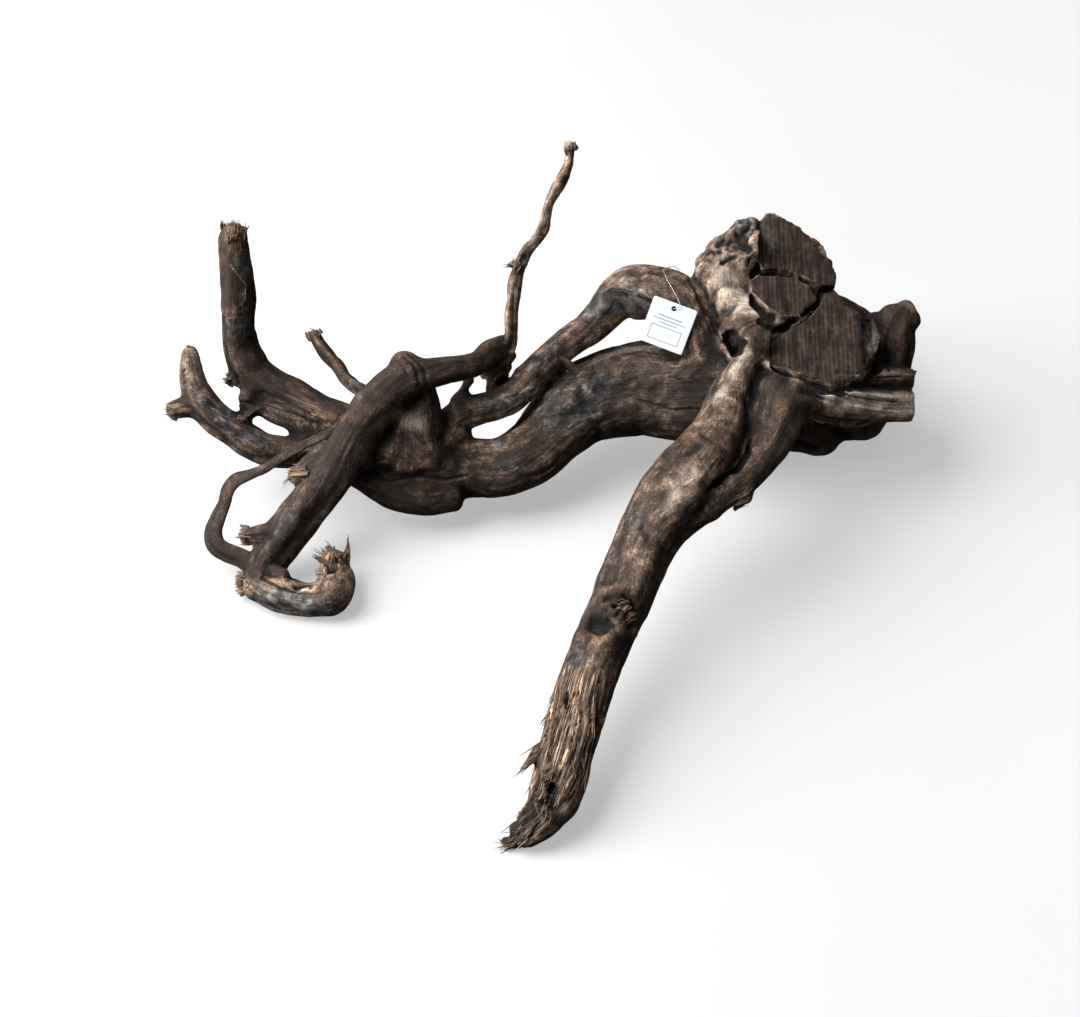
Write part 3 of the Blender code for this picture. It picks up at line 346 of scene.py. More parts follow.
def curve_through(stations, step_mm):
    """Points and radii in metres along a smooth curve through the stations."""
    knots = [(*sighted(x, y, h), r * MM) for x, y, h, r in stations]
    knots = np.array([2 * np.array(knots[0]) - knots[1], *knots, 2 * np.array(knots[-1]) - knots[-2]])
    rows = []
    for i in range(1, len(knots) - 2):
        a, b, c, d = knots[i - 1:i + 3]
        count = max(1, round(float(np.linalg.norm(c[:3] - b[:3])) / (step_mm * MM)))
        rows += [between(a, b, c, d, t) for t in np.arange(count) / count]
    rows.append(knots[-2])
    rows = np.array(rows)
    low = min(r for *_, r in stations) * MM
    return rows[:, :3], np.maximum(rows[:, 3], low * 0.8)


def carried_frames(path):
    """Unit vectors along, to the side of and up from each point of a path, without a twist."""
    steps = np.gradient(path, axis=0)
    along = steps / np.linalg.norm(steps, axis=1)[:, None]
    sides, side = [], np.cross(along[0], (0.31, 0.17, 0.93))
    for way in along:
        side = side - way * side.dot(way)
        side = side / np.linalg.norm(side)
        sides.append(side)
    sides = np.array(sides)
    return along, sides, np.cross(along, sides)


def travelled(path):
    """How far along the path each of its points lies."""
    return np.concatenate([[0], np.cumsum(np.linalg.norm(np.diff(path, axis=0), axis=1))])


def new_object(name, data):
    """A linked object for a mesh, a lens or a lamp."""
    thing = bpy.data.objects.new(name, data)
    bpy.context.scene.collection.objects.link(thing)
    return thing


def faced_outward(mesh):
    """Turns every face of a closed mesh outward."""
    work = bmesh.new()
    work.from_mesh(mesh)
    bmesh.ops.recalc_face_normals(work, faces=work.faces)
    work.to_mesh(mesh)
    work.free()


def mesh_object(name, points, faces):
    """A linked object of these points and faces, with its faces turned outward."""
    mesh = bpy.data.meshes.new(name)
    mesh.from_pydata([tuple(p) for p in points], [], faces)
    faced_outward(mesh)
    return new_object(name, mesh)


def tube_faces(rings, sides):
    """Faces of a tube of rings, closed by a fan at each end. The two end points come last."""
    faces = []
    for i in range(rings - 1):
        for j in range(sides):
            k = (j + 1) % sides
            faces.append((i * sides + j, i * sides + k, (i + 1) * sides + k, (i + 1) * sides + j))
    first, last = rings * sides, rings * sides + 1
    for j in range(sides):
        k = (j + 1) % sides
        faces.append((first, k, j))
        faces.append((last, (rings - 1) * sides + j, (rings - 1) * sides + k))
    return faces


def limb(name, stations, sides, step_mm, flute=SMOOTH_FLUTE):
    """A closed tube along the stations, with a few seeded ridges that wind slowly round it."""
    draw = random.Random(name)
    waves = [(k, flute * share, draw.uniform(0, math.tau), draw.uniform(-9, 9))
             for k, share in ((2, 1.2), (3, 1.0), (5, 0.7))]
    path, radii = curve_through(stations, step_mm)
    along, side, up = carried_frames(path)
    travel = travelled(path)
    turn = math.tau * np.arange(sides) / sides
    swell = 1 + sum(a * np.cos(k * turn[None] + p + w * travel[:, None]) for k, a, p, w in waves)
    reach = (radii[:, None] * swell)[..., None]
    rings = path[:, None] + (side[:, None] * np.cos(turn)[None, :, None]
                             + up[:, None] * np.sin(turn)[None, :, None]) * reach
    ends = [path[0] - along[0] * radii[0] * 0.5, path[-1] + along[-1] * radii[-1] * 0.5]
    return mesh_object(name, [*rings.reshape(-1, 3), *ends], tube_faces(len(path), sides))


def knob(name, x, y, height_mm, radius_mm):
    """A rounded swelling, a little lobed by its own seed."""
    work = bmesh.new()
    bmesh.ops.create_icosphere(work, subdivisions=3, radius=radius_mm * MM)
    draw = random.Random(name)
    stretch = Vector((draw.uniform(0.9, 1.12), draw.uniform(0.9, 1.12), draw.uniform(0.88, 1.05)))
    for vert in work.verts:
        vert.co = vert.co * stretch + sighted(x, y, height_mm)
    mesh = bpy.data.meshes.new(name)
    work.to_mesh(mesh)
    work.free()
    return new_object(name, mesh)


def stump():
    """The stump's core: level slices, with buttress ridges that run down it."""
    sides = STUMP_RING_SIDES * 2
    points = []
    for x, y, height, half_width, half_depth in STUMP_SLICES:
        centre = sighted(x, y, height)
        for j in range(sides):
            turn = math.tau * j / sides
            swell = 1 + sum(share * math.cos(k * turn + start + wind * height)
                            for k, share, start, wind in STUMP_RIDGES)
            points.append(centre + Vector((half_width * math.cos(turn), half_depth * math.sin(turn), 0))
                          * swell * MM)
    points.append(sighted(*STUMP_SLICES[0][:3]))
    points.append(sighted(*STUMP_SLICES[-1][:3]))
    return mesh_object("stump", points, tube_faces(len(STUMP_SLICES), sides))


def joined(things, name):
    """One mesh object that holds every piece, still unfused. The pieces are removed."""
    work = bmesh.new()
    for thing in things:
        work.from_mesh(thing.data)
        bpy.data.objects.remove(thing)
    mesh = bpy.data.meshes.new(name)
    work.to_mesh(mesh)
    work.free()
    return new_object(name, mesh)


def applied(thing):
    """The object with its modifiers made real."""
    graph = bpy.context.evaluated_depsgraph_get()
    mesh = bpy.data.meshes.new_from_object(thing.evaluated_get(graph))
    thing.modifiers.clear()
    thing.data = mesh
    return thing


def skinned(thing, voxel_mm, rounds):
    """The object under one new skin of even small faces, smoothed this many rounds."""
    remesh = thing.modifiers.new("fuse", "REMESH")
    remesh.mode = "VOXEL"
    remesh.voxel_size = voxel_mm * MM
    smooth = thing.modifiers.new("smooth", "SMOOTH")
    smooth.factor = 0.5
    smooth.iterations = rounds
    return applied(thing)


def combined(body, tools, operation):
    """The body after one Boolean with a collection of tools, which are then removed."""
    group = bpy.data.collections.new("tools")
    for tool in tools:
        group.objects.link(tool)
    change = body.modifiers.new("change", "BOOLEAN")
    change.operation = operation
    change.operand_type = "COLLECTION"
    change.collection = group
    change.solver = "MANIFOLD"
    applied(body)
    for tool in tools:
        bpy.data.objects.remove(tool)
    bpy.data.collections.remove(group)
    return body


def prism(name, low, high):
    """A closed prism between two outlines of equal length."""
    sides = len(low)
    faces = [tuple(range(sides)), tuple(range(sides, 2 * sides))]
    faces += [(i, (i + 1) % sides, sides + (i + 1) % sides, sides + i) for i in range(sides)]
    return mesh_object(name, list(low) + list(high), faces)


def saw_cutter():
    """What lies over the ground that the sawn lobes stand up from."""
    low = [sighted_on_saw(x, y, -SAWN_LOBE_RISE_MM) for x, y in SAWN_AREA]
    rise = saw_normal() * SAW_CUTTER_RISE_MM * MM
    return prism("saw", low, [p + rise for p in low])


def sawn_lobe(name, outline):
    """A lobe of wood with a flat sawn top, whose sides fall straight down and draw in a little."""
    draw = random.Random(name)
    top = []
    for i, (x, y) in enumerate(outline):
        after = outline[(i + 1) % len(outline)]
        for share in (0.0, 0.5):
            wander = (draw.uniform(-1.1, 1.1), draw.uniform(-1.1, 1.1))
            top.append(sighted_on_saw(x + (after[0] - x) * share + wander[0],
                                      y + (after[1] - y) * share + wander[1]))
    middle = sum(top, Vector()) / len(top)
    down = Vector((0, 0, -SAWN_LOBE_DEPTH_MM * MM))
    low = [middle.lerp(p, SAWN_LOBE_FOOT_SHARE) + down for p in top]
    return prism(name, low, top)


def shelf_end_cutter():
    """The upright saw cut that ends the two shelves on the right."""
    left, right = SHELF_END_X_MM * MM, SHELF_END_X_MM * MM + SHELF_CUTTER_WIDTH
    front, back = SHELF_CUTTER_FRONT, SHELF_CUTTER_BACK
    corners = ((left, front), (right, front), (right, back), (left, back))
    low = [Vector((x, y, SHELF_CUTTER_FOOT)) + Vector(CENTRE_SHIFT_MM) * MM for x, y in corners]
    return prism("shelf_end", low, [p + Vector(SHELF_CUTTER_RISE) for p in low])


def crack_cutter(name, points, width_mm, depth_mm):
    """A wedge that opens a crack along the points, wandering a little as real cracks do."""
    draw = random.Random(name)
    path = []
    for i, point in enumerate(points):
        path.append(sighted(*point))
        if i + 1 < len(points):
            for share in (1 / 3, 2 / 3):
                wander = Vector([draw.uniform(-1, 1) for _ in range(3)]) * width_mm * MM * CRACK_WANDER
                path.append(path[-1].lerp(sighted(*points[i + 1]), share) + wander)
    rings = []
    for i, point in enumerate(path):
        along = (path[min(i + 1, len(path) - 1)] - path[max(i - 1, 0)]).normalized()
        across = along.cross(TOWARDS_EYE).normalized()
        share = CRACK_END_SHARE if i in (0, len(path) - 1) else draw.uniform(*CRACK_SHARES)
        half = across * width_mm * MM * share * 0.5
        top = point + TOWARDS_EYE * CRACK_LIFT
        deep = point - TOWARDS_EYE * depth_mm * MM * share
        rings += [top + half * CRACK_LIP_SHARE, top - half * CRACK_LIP_SHARE,
                  deep - half * CRACK_FLOOR_SHARE, deep + half * CRACK_FLOOR_SHARE]
    rings += [(rings[0] + rings[2]) / 2, (rings[-4] + rings[-2]) / 2]
    return mesh_object(name, rings, tube_faces(len(path), 4))


SAWN_LOBES = {
    "upper_sawn_lobe": UPPER_SAWN_LOBE, "oval_sawn_lobe": OVAL_SAWN_LOBE, "lower_sawn_lobe": LOWER_SAWN_LOBE,
}

# How much thicker a twig is here than in the CAD, which shares its line
TWIG_SWELL = {"twig_three": 1.2, "twig_curled": 1.08}

# Bark that fills the ground beside the oval lobe, and worn ridges that run off the strand and the shelf
BARK_RIDGES = {
    "burl_seat": [(746, 284, 168, 5), (751, 297, 166, 7), (758, 309, 163, 7), (767, 320, 159, 6),
                  (778, 328, 155, 4)],
    "shelf_rim": [(905, 399, 109, 5), (868, 397, 124, 6), (836, 392, 136, 6.5), (808, 382, 143, 7),
                  (784, 372, 147, 7), (766, 364, 151, 5)],
    "shelf_ridge": [(903, 413, 101, 5), (866, 414, 110, 6), (830, 410, 125, 7), (808, 405, 145, 7),
                    (792, 398, 154, 6), (778, 382, 152, 5)],
}
BURL_FLANK = [(740, 300, 156, 10), (754, 311, 157, 10), (768, 320, 153, 8.5), (780, 326, 147, 6)]

# Loose chunks of bark wedged in the cracks between the sawn lobes
CRACK_CHUNKS = {
    "chunk_pale": [(792, 323, 158, 3.0), (798, 318, 161, 4.4), (806, 311, 165, 3.2), (810, 307, 166, 1.6)],
    "chunk_small": [(776, 323, 158, 2.6), (782, 321, 160, 3.2), (787, 322, 160, 2.2)],
    "chunk_dark": [(811, 303, 166, 2.0), (815, 298, 169, 3.0), (817, 294, 171, 2.0)],
}

# How dark the wood of a limb is: 0 is the common wood, 1 is nearly black
DEEP_TONED = {
    "arm": 0.85, "limb_two": 0.7, "leg": 0.35, "limb_two_spur": 0.7, "flat_splinter": 0.8, "torn_slab": 0.8,
    "belly": 0.75, "column": 0.6, "twig_tall": 0.1, "twig_spur": 0.6, "twig_curled": 0.9,
    "twig_three": 0.7, "strand_left": 0.6, "strand_middle": 0.6, "strand_right": 0.6, "tip_lump": 0.8,
    "neck": 0.5, "limb_one": 0.45, "limb_one_stub": 0.6, "arm_stub": 0.7, "horn": 0.9, "horn_left": 0.9,
    "upper_shelf": 0.9, "back_strut": 0.9, "stump": 0.7, "neck_spike": 0.6, "foot_spike": 0.4,
    "leg_right_strand": 0.65, "bough": 0.3, "arm_knob": 0.6,
}


def wood_form():
    """The root's form at full fineness, before its grain and relief."""
    pieces = [limb(name, stations, *THICK_DETAIL) for name, stations in THICK_LIMBS.items()]
    pieces.append(limb("burl_flank", BURL_FLANK, *FLANK_DETAIL))
    pieces += [limb(name, stations, *THIN_DETAIL) for name, stations in BARK_RIDGES.items()]
    pieces += [knob(f"knob_{i}", *where) for i, where in enumerate(KNOBS)]
    pieces.append(stump())
    body = skinned(joined(pieces, "bogwood_skin"), ROUGH_VOXEL_MM, ROUGH_SMOOTHING)
    combined(body, [saw_cutter()], "DIFFERENCE")
    added = []
    for name, stations in THIN_TWIGS.items():
        swollen = [(x, y, height, reach * TWIG_SWELL.get(name, 1.0)) for x, y, height, reach in stations]
        added.append(limb(name, swollen, *THIN_DETAIL, ROUGH_FLUTE))
    added += [sawn_lobe(name, outline) for name, outline in SAWN_LOBES.items()]
    added += [limb(name, stations, *CHUNK_DETAIL, ROUGH_FLUTE) for name, stations in CRACK_CHUNKS.items()]
    combined(body, added, "UNION")
    cutters = [shelf_end_cutter()]
    cutters += [crack_cutter(f"crack_{i}", *crack) for i, crack in enumerate(CRACKS)]
    cutters += [knob(f"hollow_{i}", *where) for i, where in enumerate(HOLLOWS)]
    combined(body, cutters, "DIFFERENCE")
    return skinned(body, SKIN_VOXEL_MM, SKIN_SMOOTHING)


# How a point takes its grain from the limbs round it
GRAIN_REACH_MM = 30.0
GRAIN_BLEND_MM = 4.0
LEAST_SHARE = 0.04
FAR = 9.0


# Large numbers that turn a cell's place and a seed into an even spread of values
CELL_FACTORS = (73856093, 19349663, 83492791)
SEED_FACTOR = 2654435
MIXING = ((15, 0x2c1b3c6d), (12, 0x297a2d39))
LAST_SHIFT = 15
LOW_BITS = 0xffffffff
HALF_RANGE = 2147483648.0


def lattice_noise(points, seed):
    """Smooth noise from -1 to 1. One unit of the points is one swell."""
    cell = np.floor(points).astype(np.int64)
    part = points - cell
    part = part * part * (3 - 2 * part)
    total = np.zeros(len(points))
    for corner in range(8):
        step = (corner & 1, corner >> 1 & 1, corner >> 2 & 1)
        key = np.full(len(points), seed * SEED_FACTOR)
        for axis, factor in enumerate(CELL_FACTORS):
            key = key ^ (cell[:, axis] + step[axis]) * factor
        key = key & LOW_BITS
        for shift, factor in MIXING:
            key = ((key ^ key >> shift) * factor) & LOW_BITS
        key = key ^ key >> LAST_SHIFT
        weight = np.ones(len(points))
        for axis in range(3):
            weight = weight * (part[:, axis] if step[axis] else 1 - part[:, axis])
        total += weight * (key / HALF_RANGE - 1)
    return total


def grown_noise(points, seed, octaves=3):
    """Noise with finer noise on it, from about -1 to 1."""
    total, share, size = 0, 1.0, 0.0
    for octave in range(octaves):
        total = total + lattice_noise(points * 2.03 ** octave + 17.3 * octave, seed + octave) * share
        size += share
        share *= 0.5
    return total / size * 1.4


def eased(values, low, high):
    """0 below low, 1 above high, and a smooth rise between."""
    share = np.clip((values - low) / (high - low), 0, 1)
    return share * share * (3 - 2 * share)


def grain_lines():
    """The line that each limb's fibres follow, with its frames, radii and length so far."""
    names = [*THICK_LIMBS, *THIN_TWIGS, "stump"]
    paths = [curve_through(stations, 4) for stations in [*THICK_LIMBS.values(), *THIN_TWIGS.values()]]
    stump_path = np.array([sighted(x, y, h) for x, y, h, *_ in STUMP_SLICES])
    stump_radii = np.array([(width + depth) / 2 * MM for *_, width, depth in STUMP_SLICES])
    paths.append((stump_path, stump_radii))
    lines = []
    for name, (path, radii) in zip(names, paths):
        along, side, up = carried_frames(path)
        lines.append({"path": path, "radii": radii, "travel": travelled(path), "along": along, "side": side,
                      "up": up, "girth": float(np.mean(radii)), "deep": DEEP_TONED.get(name, 0.0)})
    return lines


def points_near(points, path, pad):
    """The numbers of the points inside the path's box, widened by the pad."""
    inside = np.all((points > path.min(0) - pad) & (points < path.max(0) + pad), axis=1)
    return np.nonzero(inside)[0]


def nearest_station(points, path):
    """The number of the path's point that is nearest to each point."""
    return np.argmin((path ** 2).sum(1)[None] - 2 * points @ path.T, axis=1)


def along_line(points, line):
    """How far each point stands out of a limb, its place along the limb and its turn round it."""
    path, along = line["path"], line["along"]
    nearest = nearest_station(points, path)
    behind = ((points - path[nearest]) * along[nearest]).sum(1) < 0
    low = np.clip(nearest - behind, 0, len(path) - 2)
    step = path[low + 1] - path[low]
    length = np.linalg.norm(step, axis=1)
    share = np.clip(((points - path[low]) * step).sum(1) / length ** 2, 0, 1)[:, None]
    out = points - path[low] - step * share
    side = line["side"][low] * (1 - share) + line["side"][low + 1] * share
    up = line["up"][low] * (1 - share) + line["up"][low + 1] * share
    share = share[:, 0]
    radius = line["radii"][low] * (1 - share) + line["radii"][low + 1] * share
    turn = np.arctan2((out * up).sum(1), (out * side).sum(1))
    return np.linalg.norm(out, axis=1) - radius, line["travel"][low] + length * share, turn


def fibre_place(line, number, travel, turn):
    """Places in mm that run with the fibres: along the limb, and twice across it."""
    draw = random.Random(number)
    slow = np.stack([travel / 0.06, np.cos(turn) * 0.9, np.sin(turn) * 0.9], axis=1) + number * 7.7
    turn = turn + travel * draw.uniform(-4, 4) + lattice_noise(slow, 5) * 0.35
    girth = max(line["girth"], 0.006)
    return np.stack([travel, np.cos(turn) * girth, np.sin(turn) * girth], axis=1) / MM + number * 41.3


def near_limbs(points, lines):
    """For each limb, the points near it, with each point's share of that limb in its grain."""
    found = []
    closest = np.full(len(points), FAR)
    for line in lines:
        index = points_near(points, line["path"], line["radii"].max() + GRAIN_REACH_MM * MM)
        if len(index) == 0:
            found.append(None)
            continue
        out, travel, turn = along_line(points[index], line)
        closest[index] = np.minimum(closest[index], out)
        found.append((index, out, travel, turn))
    total = np.zeros(len(points))
    for item in found:
        if item:
            index, out, *_ = item
            total[index] += np.exp(-(out - closest[index]) / (GRAIN_BLEND_MM * MM))
    kept = []
    for number, item in enumerate(found):
        if item:
            index, out, travel, turn = item
            share = np.exp(-(out - closest[index]) / (GRAIN_BLEND_MM * MM)) / total[index]
            strong = share > LEAST_SHARE
            place = fibre_place(lines[number], number, travel[strong], turn[strong])
            kept.append((index[strong], share[strong], place, lines[number]["deep"]))
    return kept


def streaks(points, near, long_mm, wide_mm, seed, octaves=2):
    """Noise drawn out along the fibres, about -1 to 1."""
    total, power = np.zeros(len(points)), np.zeros(len(points))
    for index, share, place, _ in near:
        total[index] += share * grown_noise(place / (long_mm, wide_mm, wide_mm), seed, octaves)
        power[index] += share ** 2
    return total / np.sqrt(np.maximum(power, 1e-6))


def neighbour_mean(values, edges, rounds):
    """The values after each point has taken its neighbours' mean this many times."""
    count = len(values)
    ends = np.concatenate([edges[:, 0], edges[:, 1]])
    others = np.concatenate([edges[:, 1], edges[:, 0]])
    degree = np.bincount(ends, minlength=count)
    columns = np.array(values, dtype=float).reshape(count, -1)
    for _ in range(rounds):
        columns = np.stack([(np.bincount(ends, weights=column[others], minlength=count) + column)
                            / (degree + 1) for column in columns.T], axis=1)
    return columns.reshape(np.shape(values))


def mesh_arrays(mesh):
    """Points, normals and edges of a mesh."""
    points = np.empty(len(mesh.vertices) * 3)
    mesh.vertices.foreach_get("co", points)
    normals = np.empty(len(mesh.vertices) * 3, dtype=np.float32)
    mesh.vertex_normals.foreach_get("vector", normals)
    edges = np.empty(len(mesh.edges) * 2, dtype=np.int32)
    mesh.edges.foreach_get("vertices", edges)
    return points.reshape(-1, 3), normals.reshape(-1, 3).astype(float), edges.reshape(-1, 2)


def seen_point(tree, x, y):
    """The point of the surface that the picture shows at x, y."""
    near, far = sighted(x, y, 400.0), sighted(x, y, -20.0)
    hit = tree.ray_cast(near, (far - near).normalized())[0]
    return np.array(hit if hit else sighted(x, y, 60.0))


def painted_spots(points, tree, spots):
    """How strongly each point lies in the spots, from 0 to about 1."""
    total = np.zeros(len(points))
    for x0, y0, x1, y1, radius_mm, strength in spots:
        start, end = seen_point(tree, x0, y0), seen_point(tree, x1, y1)
        step = end - start
        share = np.clip((points - start) @ step / max(step @ step, 1e-9), 0, 1)
        gap = np.linalg.norm(points - start - share[:, None] * step, axis=1)
        total = np.maximum(total, strength * np.exp(-(gap / (radius_mm * MM)) ** 2))
    return total


# Tones and textures, stroke by stroke: picture x and y of a stroke's two ends, its radius in mm and its
# strength
GREY_SKIN = [
    (590, 310, 612, 300, 12, 0.9), (625, 300, 640, 300, 13, 0.8), (518, 408, 548, 400, 13, 0.85),
    (585, 398, 606, 392, 16, 0.9), (500, 440, 506, 462, 12, 0.6), (556, 420, 596, 412, 13, 0.75),
    (250, 598, 300, 606, 14, 1.3), (300, 610, 330, 608, 8, 0.7), (222, 425, 262, 440, 9, 0.9),
    (205, 402, 230, 414, 9, 0.7), (572, 660, 566, 690, 14, 0.9), (594, 560, 590, 596, 10, 0.9),
    (706, 252, 744, 226, 12, 0.8), (706, 270, 730, 256, 8, 0.5), (410, 375, 425, 380, 7, 0.8),
    (288, 520, 276, 548, 12, 0.7), (858, 324, 872, 340, 8, 0.7), (764, 226, 772, 250, 9, 0.6),
    (722, 366, 708, 402, 4.5, 0.8), (740, 350, 726, 362, 4.5, 0.8), (640, 505, 625, 540, 8, 0.4),
    (850, 372, 900, 370, 10, 0.4), (243, 258, 250, 276, 8, 0.9), (232, 328, 240, 338, 11, 0.9),
    (246, 326, 256, 340, 10, 0.9), (480, 410, 505, 404, 8, 0.7), (536, 366, 550, 352, 9, 0.7),
]
TORN_WARM = [
    (328, 560, 306, 560, 18, 0.9), (560, 690, 540, 800, 20, 0.9), (590, 700, 585, 760, 16, 0.6),
    (268, 580, 300, 578, 9, 0.9), (296, 476, 284, 478, 10, 1.0), (236, 228, 236, 238, 12, 1.0),
    (736, 500, 752, 492, 9, 1.0), (512, 840, 530, 820, 14, 0.8), (312, 332, 318, 342, 8, 0.8),
    (242, 582, 246, 592, 9, 1.0), (640, 366, 690, 372, 22, 0.4), (280, 404, 330, 414, 12, 0.8),
    (236, 424, 250, 418, 9, 0.6), (172, 411, 182, 410, 8, 0.9), (800, 316, 806, 318, 7, 1.0),
    (792, 372, 768, 368, 6, 0.6), (518, 262, 514, 266, 7, 0.9),
]
# Pale worn wood, and painted light on faces that lie in shade here: the shelf, the tan lump's flank and lit
# top edges
PALE_WEAR_AND_PAINTED_LIGHT = [
    (764, 364, 800, 378, 3.5, 0.9), (800, 378, 835, 394, 4.0, 0.9), (793, 321, 807, 312, 5.5, 1.0),
    (750, 292, 768, 320, 6, 0.7), (838, 402, 900, 404, 9, 0.6), (902, 298, 912, 304, 5, 0.7),
    (188, 354, 194, 384, 12, 0.34), (292, 608, 322, 608, 8, 0.5), (400, 416, 418, 424, 10, 0.8),
    (752, 232, 756, 262, 7, 1.0), (722, 280, 742, 300, 13, 0.9), (742, 306, 766, 322, 15, 1.0),
    (712, 306, 722, 322, 10, 0.4), (748, 352, 716, 400, 7, 0.7), (836, 392, 905, 399, 6, 0.8),
    (830, 400, 902, 406, 13, 1.0), (850, 380, 900, 372, 8, 0.7), (900, 300, 912, 306, 8, 0.7),
    (784, 372, 836, 392, 5, 0.8), (352, 448, 356, 460, 8, 0.5), (646, 562, 636, 590, 11, 0.5),
    (672, 505, 690, 470, 16, 0.5), (550, 152, 566, 200, 8, 0.5), (744, 388, 750, 400, 10, 0.4),
    (610, 275, 650, 270, 14, 0.2), (566, 150, 548, 204, 9, 0.5), (540, 220, 524, 262, 9, 0.45),
    (505, 360, 512, 350, 6, 0.8), (730, 357, 732, 358, 7, 0.9), (600, 352, 660, 348, 14, 0.5),
]
# Dark stains, and painted shade: in the knot hole, pits and crevices, under the stump and down shaded sides
DARK_STAIN_AND_PAINTED_SHADE = [
    (772, 386, 792, 402, 14, 0.75), (878, 330, 884, 362, 13, 0.8), (730, 262, 748, 282, 9, 0.6),
    (722, 240, 740, 250, 8, 0.6), (590, 620, 638, 612, 13, 1.0), (736, 238, 744, 230, 6, 0.6),
    (762, 372, 752, 396, 5, 0.8), (716, 286, 728, 276, 6, 0.4), (655, 440, 690, 470, 9, 0.3),
    (640, 520, 650, 500, 8, 0.35), (660, 480, 668, 470, 6, 0.3), (604, 660, 610, 690, 10, 0.4),
    (620, 560, 640, 570, 7, 0.3), (228, 270, 228, 300, 14, 0.7), (240, 380, 290, 410, 12, 0.6),
    (612, 296, 636, 310, 14, 0.6), (688, 420, 706, 400, 16, 0.7), (712, 336, 722, 360, 9, 0.8),
    (590, 622, 606, 616, 12, 0.9), (616, 600, 638, 612, 13, 0.9), (634, 622, 626, 632, 9, 0.8),
    (545, 800, 556, 818, 9, 0.9), (536, 804, 512, 838, 16, 0.9), (560, 790, 566, 800, 9, 0.6),
    (586, 700, 588, 780, 9, 0.5), (320, 596, 345, 588, 12, 0.5), (700, 372, 690, 400, 14, 0.7),
    (556, 768, 560, 790, 8, 0.5), (872, 312, 872, 366, 9, 0.9), (768, 326, 782, 332, 6, 0.9),
    (796, 446, 850, 446, 26, 0.8), (775, 388, 776, 390, 10, 0.6), (416, 364, 424, 384, 8, 0.7),
    (380, 478, 450, 482, 12, 0.6), (536, 436, 500, 486, 12, 0.4), (752, 262, 752, 262, 6, 1.0),
    (800, 350, 850, 350, 40, 0.35), (498, 372, 494, 384, 10, 0.5),
]
RING_WRINKLES = [(182, 374, 206, 388, 9, 1.0), (404, 360, 426, 384, 8, 0.9), (610, 300, 640, 292, 10, 0.5)]
BURL_BUMPS = [(712, 250, 748, 226, 13, 1.0), (736, 252, 750, 262, 8, 0.8), (700, 262, 706, 256, 8, 0.7)]
SHREDDED = [
    (522, 820, 510, 842, 13, 1.0), (545, 790, 536, 812, 13, 1.0), (608, 612, 622, 614, 7, 0.5),
    (334, 562, 316, 562, 12, 0.8), (240, 412, 260, 422, 8, 0.5), (300, 420, 330, 424, 8, 0.4),
]
LEG_FRAY = [(566, 690, 548, 790, 24, 1.0), (590, 690, 580, 770, 20, 0.8), (530, 820, 512, 842, 16, 0.8)]

# Knots and scars: picture x and y, then radius in mm
GRAIN_KNOTS = [
    (775, 388, 11), (622, 612, 14), (652, 284, 8), (590, 384, 7), (718, 452, 8), (400, 366, 9),
    (334, 590, 11), (690, 476, 8), (560, 400, 9), (640, 404, 12), (350, 470, 8), (428, 452, 9),
    (206, 398, 7), (300, 504, 7), (668, 540, 8), (600, 660, 6), (242, 366, 7), (452, 372, 6), (830, 402, 8),
    (546, 204, 4), (470, 470, 10), (738, 420, 7),
]

# Hollows, one by one: a stroke's two ends, its radius in mm and its depth in mm
PITS = [
    (590, 622, 604, 626, 6.5, 8.0), (624, 600, 634, 608, 5.0, 9.0), (634, 610, 632, 622, 5.0, 9.0),
    (606, 620, 612, 626, 3.0, 5.0), (752, 262, 754, 259, 4.0, 6.0), (548, 782, 558, 806, 5.0, 7.0),
    (530, 800, 534, 814, 3.0, 4.0), (564, 700, 566, 706, 2.5, 5.0), (866, 318, 870, 360, 5.0, 6.0),
    (234, 378, 236, 384, 3.5, 5.0), (716, 244, 722, 240, 3.5, 4.0), (734, 232, 738, 238, 3.0, 4.0),
    (722, 262, 734, 256, 3.0, 4.5), (744, 246, 748, 250, 3.0, 4.0), (700, 300, 706, 312, 4.0, 2.0),
    (612, 292, 626, 296, 3.5, 2.0), (640, 296, 650, 300, 3.0, 2.0), (170, 412, 172, 410, 3.0, 4.0),
    (318, 562, 330, 568, 5.0, 7.0), (306, 584, 296, 586, 4.0, 4.0), (836, 430, 850, 440, 5.0, 5.0),
    (800, 446, 816, 452, 6.0, 6.0), (712, 306, 716, 316, 3.0, 2.5), (650, 474, 660, 466, 6.0, 1.5),
    (690, 452, 698, 446, 5.0, 2.0), (640, 528, 646, 536, 4.0, 1.5),
]

# Raised places, in the same form
LUMPS = [
    (606, 606, 618, 602, 4.0, 3.4), (612, 614, 622, 610, 3.0, 4.0), (616, 622, 624, 616, 3.0, 3.6),
    (643, 600, 646, 622, 4.5, 1.0), (612, 634, 634, 634, 5.0, 3.6), (604, 592, 626, 588, 5.5, 3.0),
    (775, 392, 786, 404, 8.0, 3.0), (584, 374, 590, 396, 5.0, 2.0), (646, 278, 664, 282, 4.0, 1.6),
    (700, 270, 716, 286, 8.0, 2.5), (722, 292, 736, 300, 7.0, 2.0), (722, 228, 728, 224, 5.0, 2.5),
    (742, 222, 750, 220, 5.0, 2.0), (798, 314, 804, 318, 4.0, 2.4), (778, 320, 786, 326, 3.5, 2.0),
    (300, 562, 312, 560, 5.0, 2.5), (322, 553, 330, 556, 4.0, 2.5), (670, 480, 676, 500, 7.0, 1.8),
    (636, 544, 630, 556, 6.0, 1.6), (656, 440, 662, 452, 6.0, 1.6), (512, 366, 518, 372, 5.0, 1.5),
    (846, 404, 880, 408, 4.0, 1.6),
]

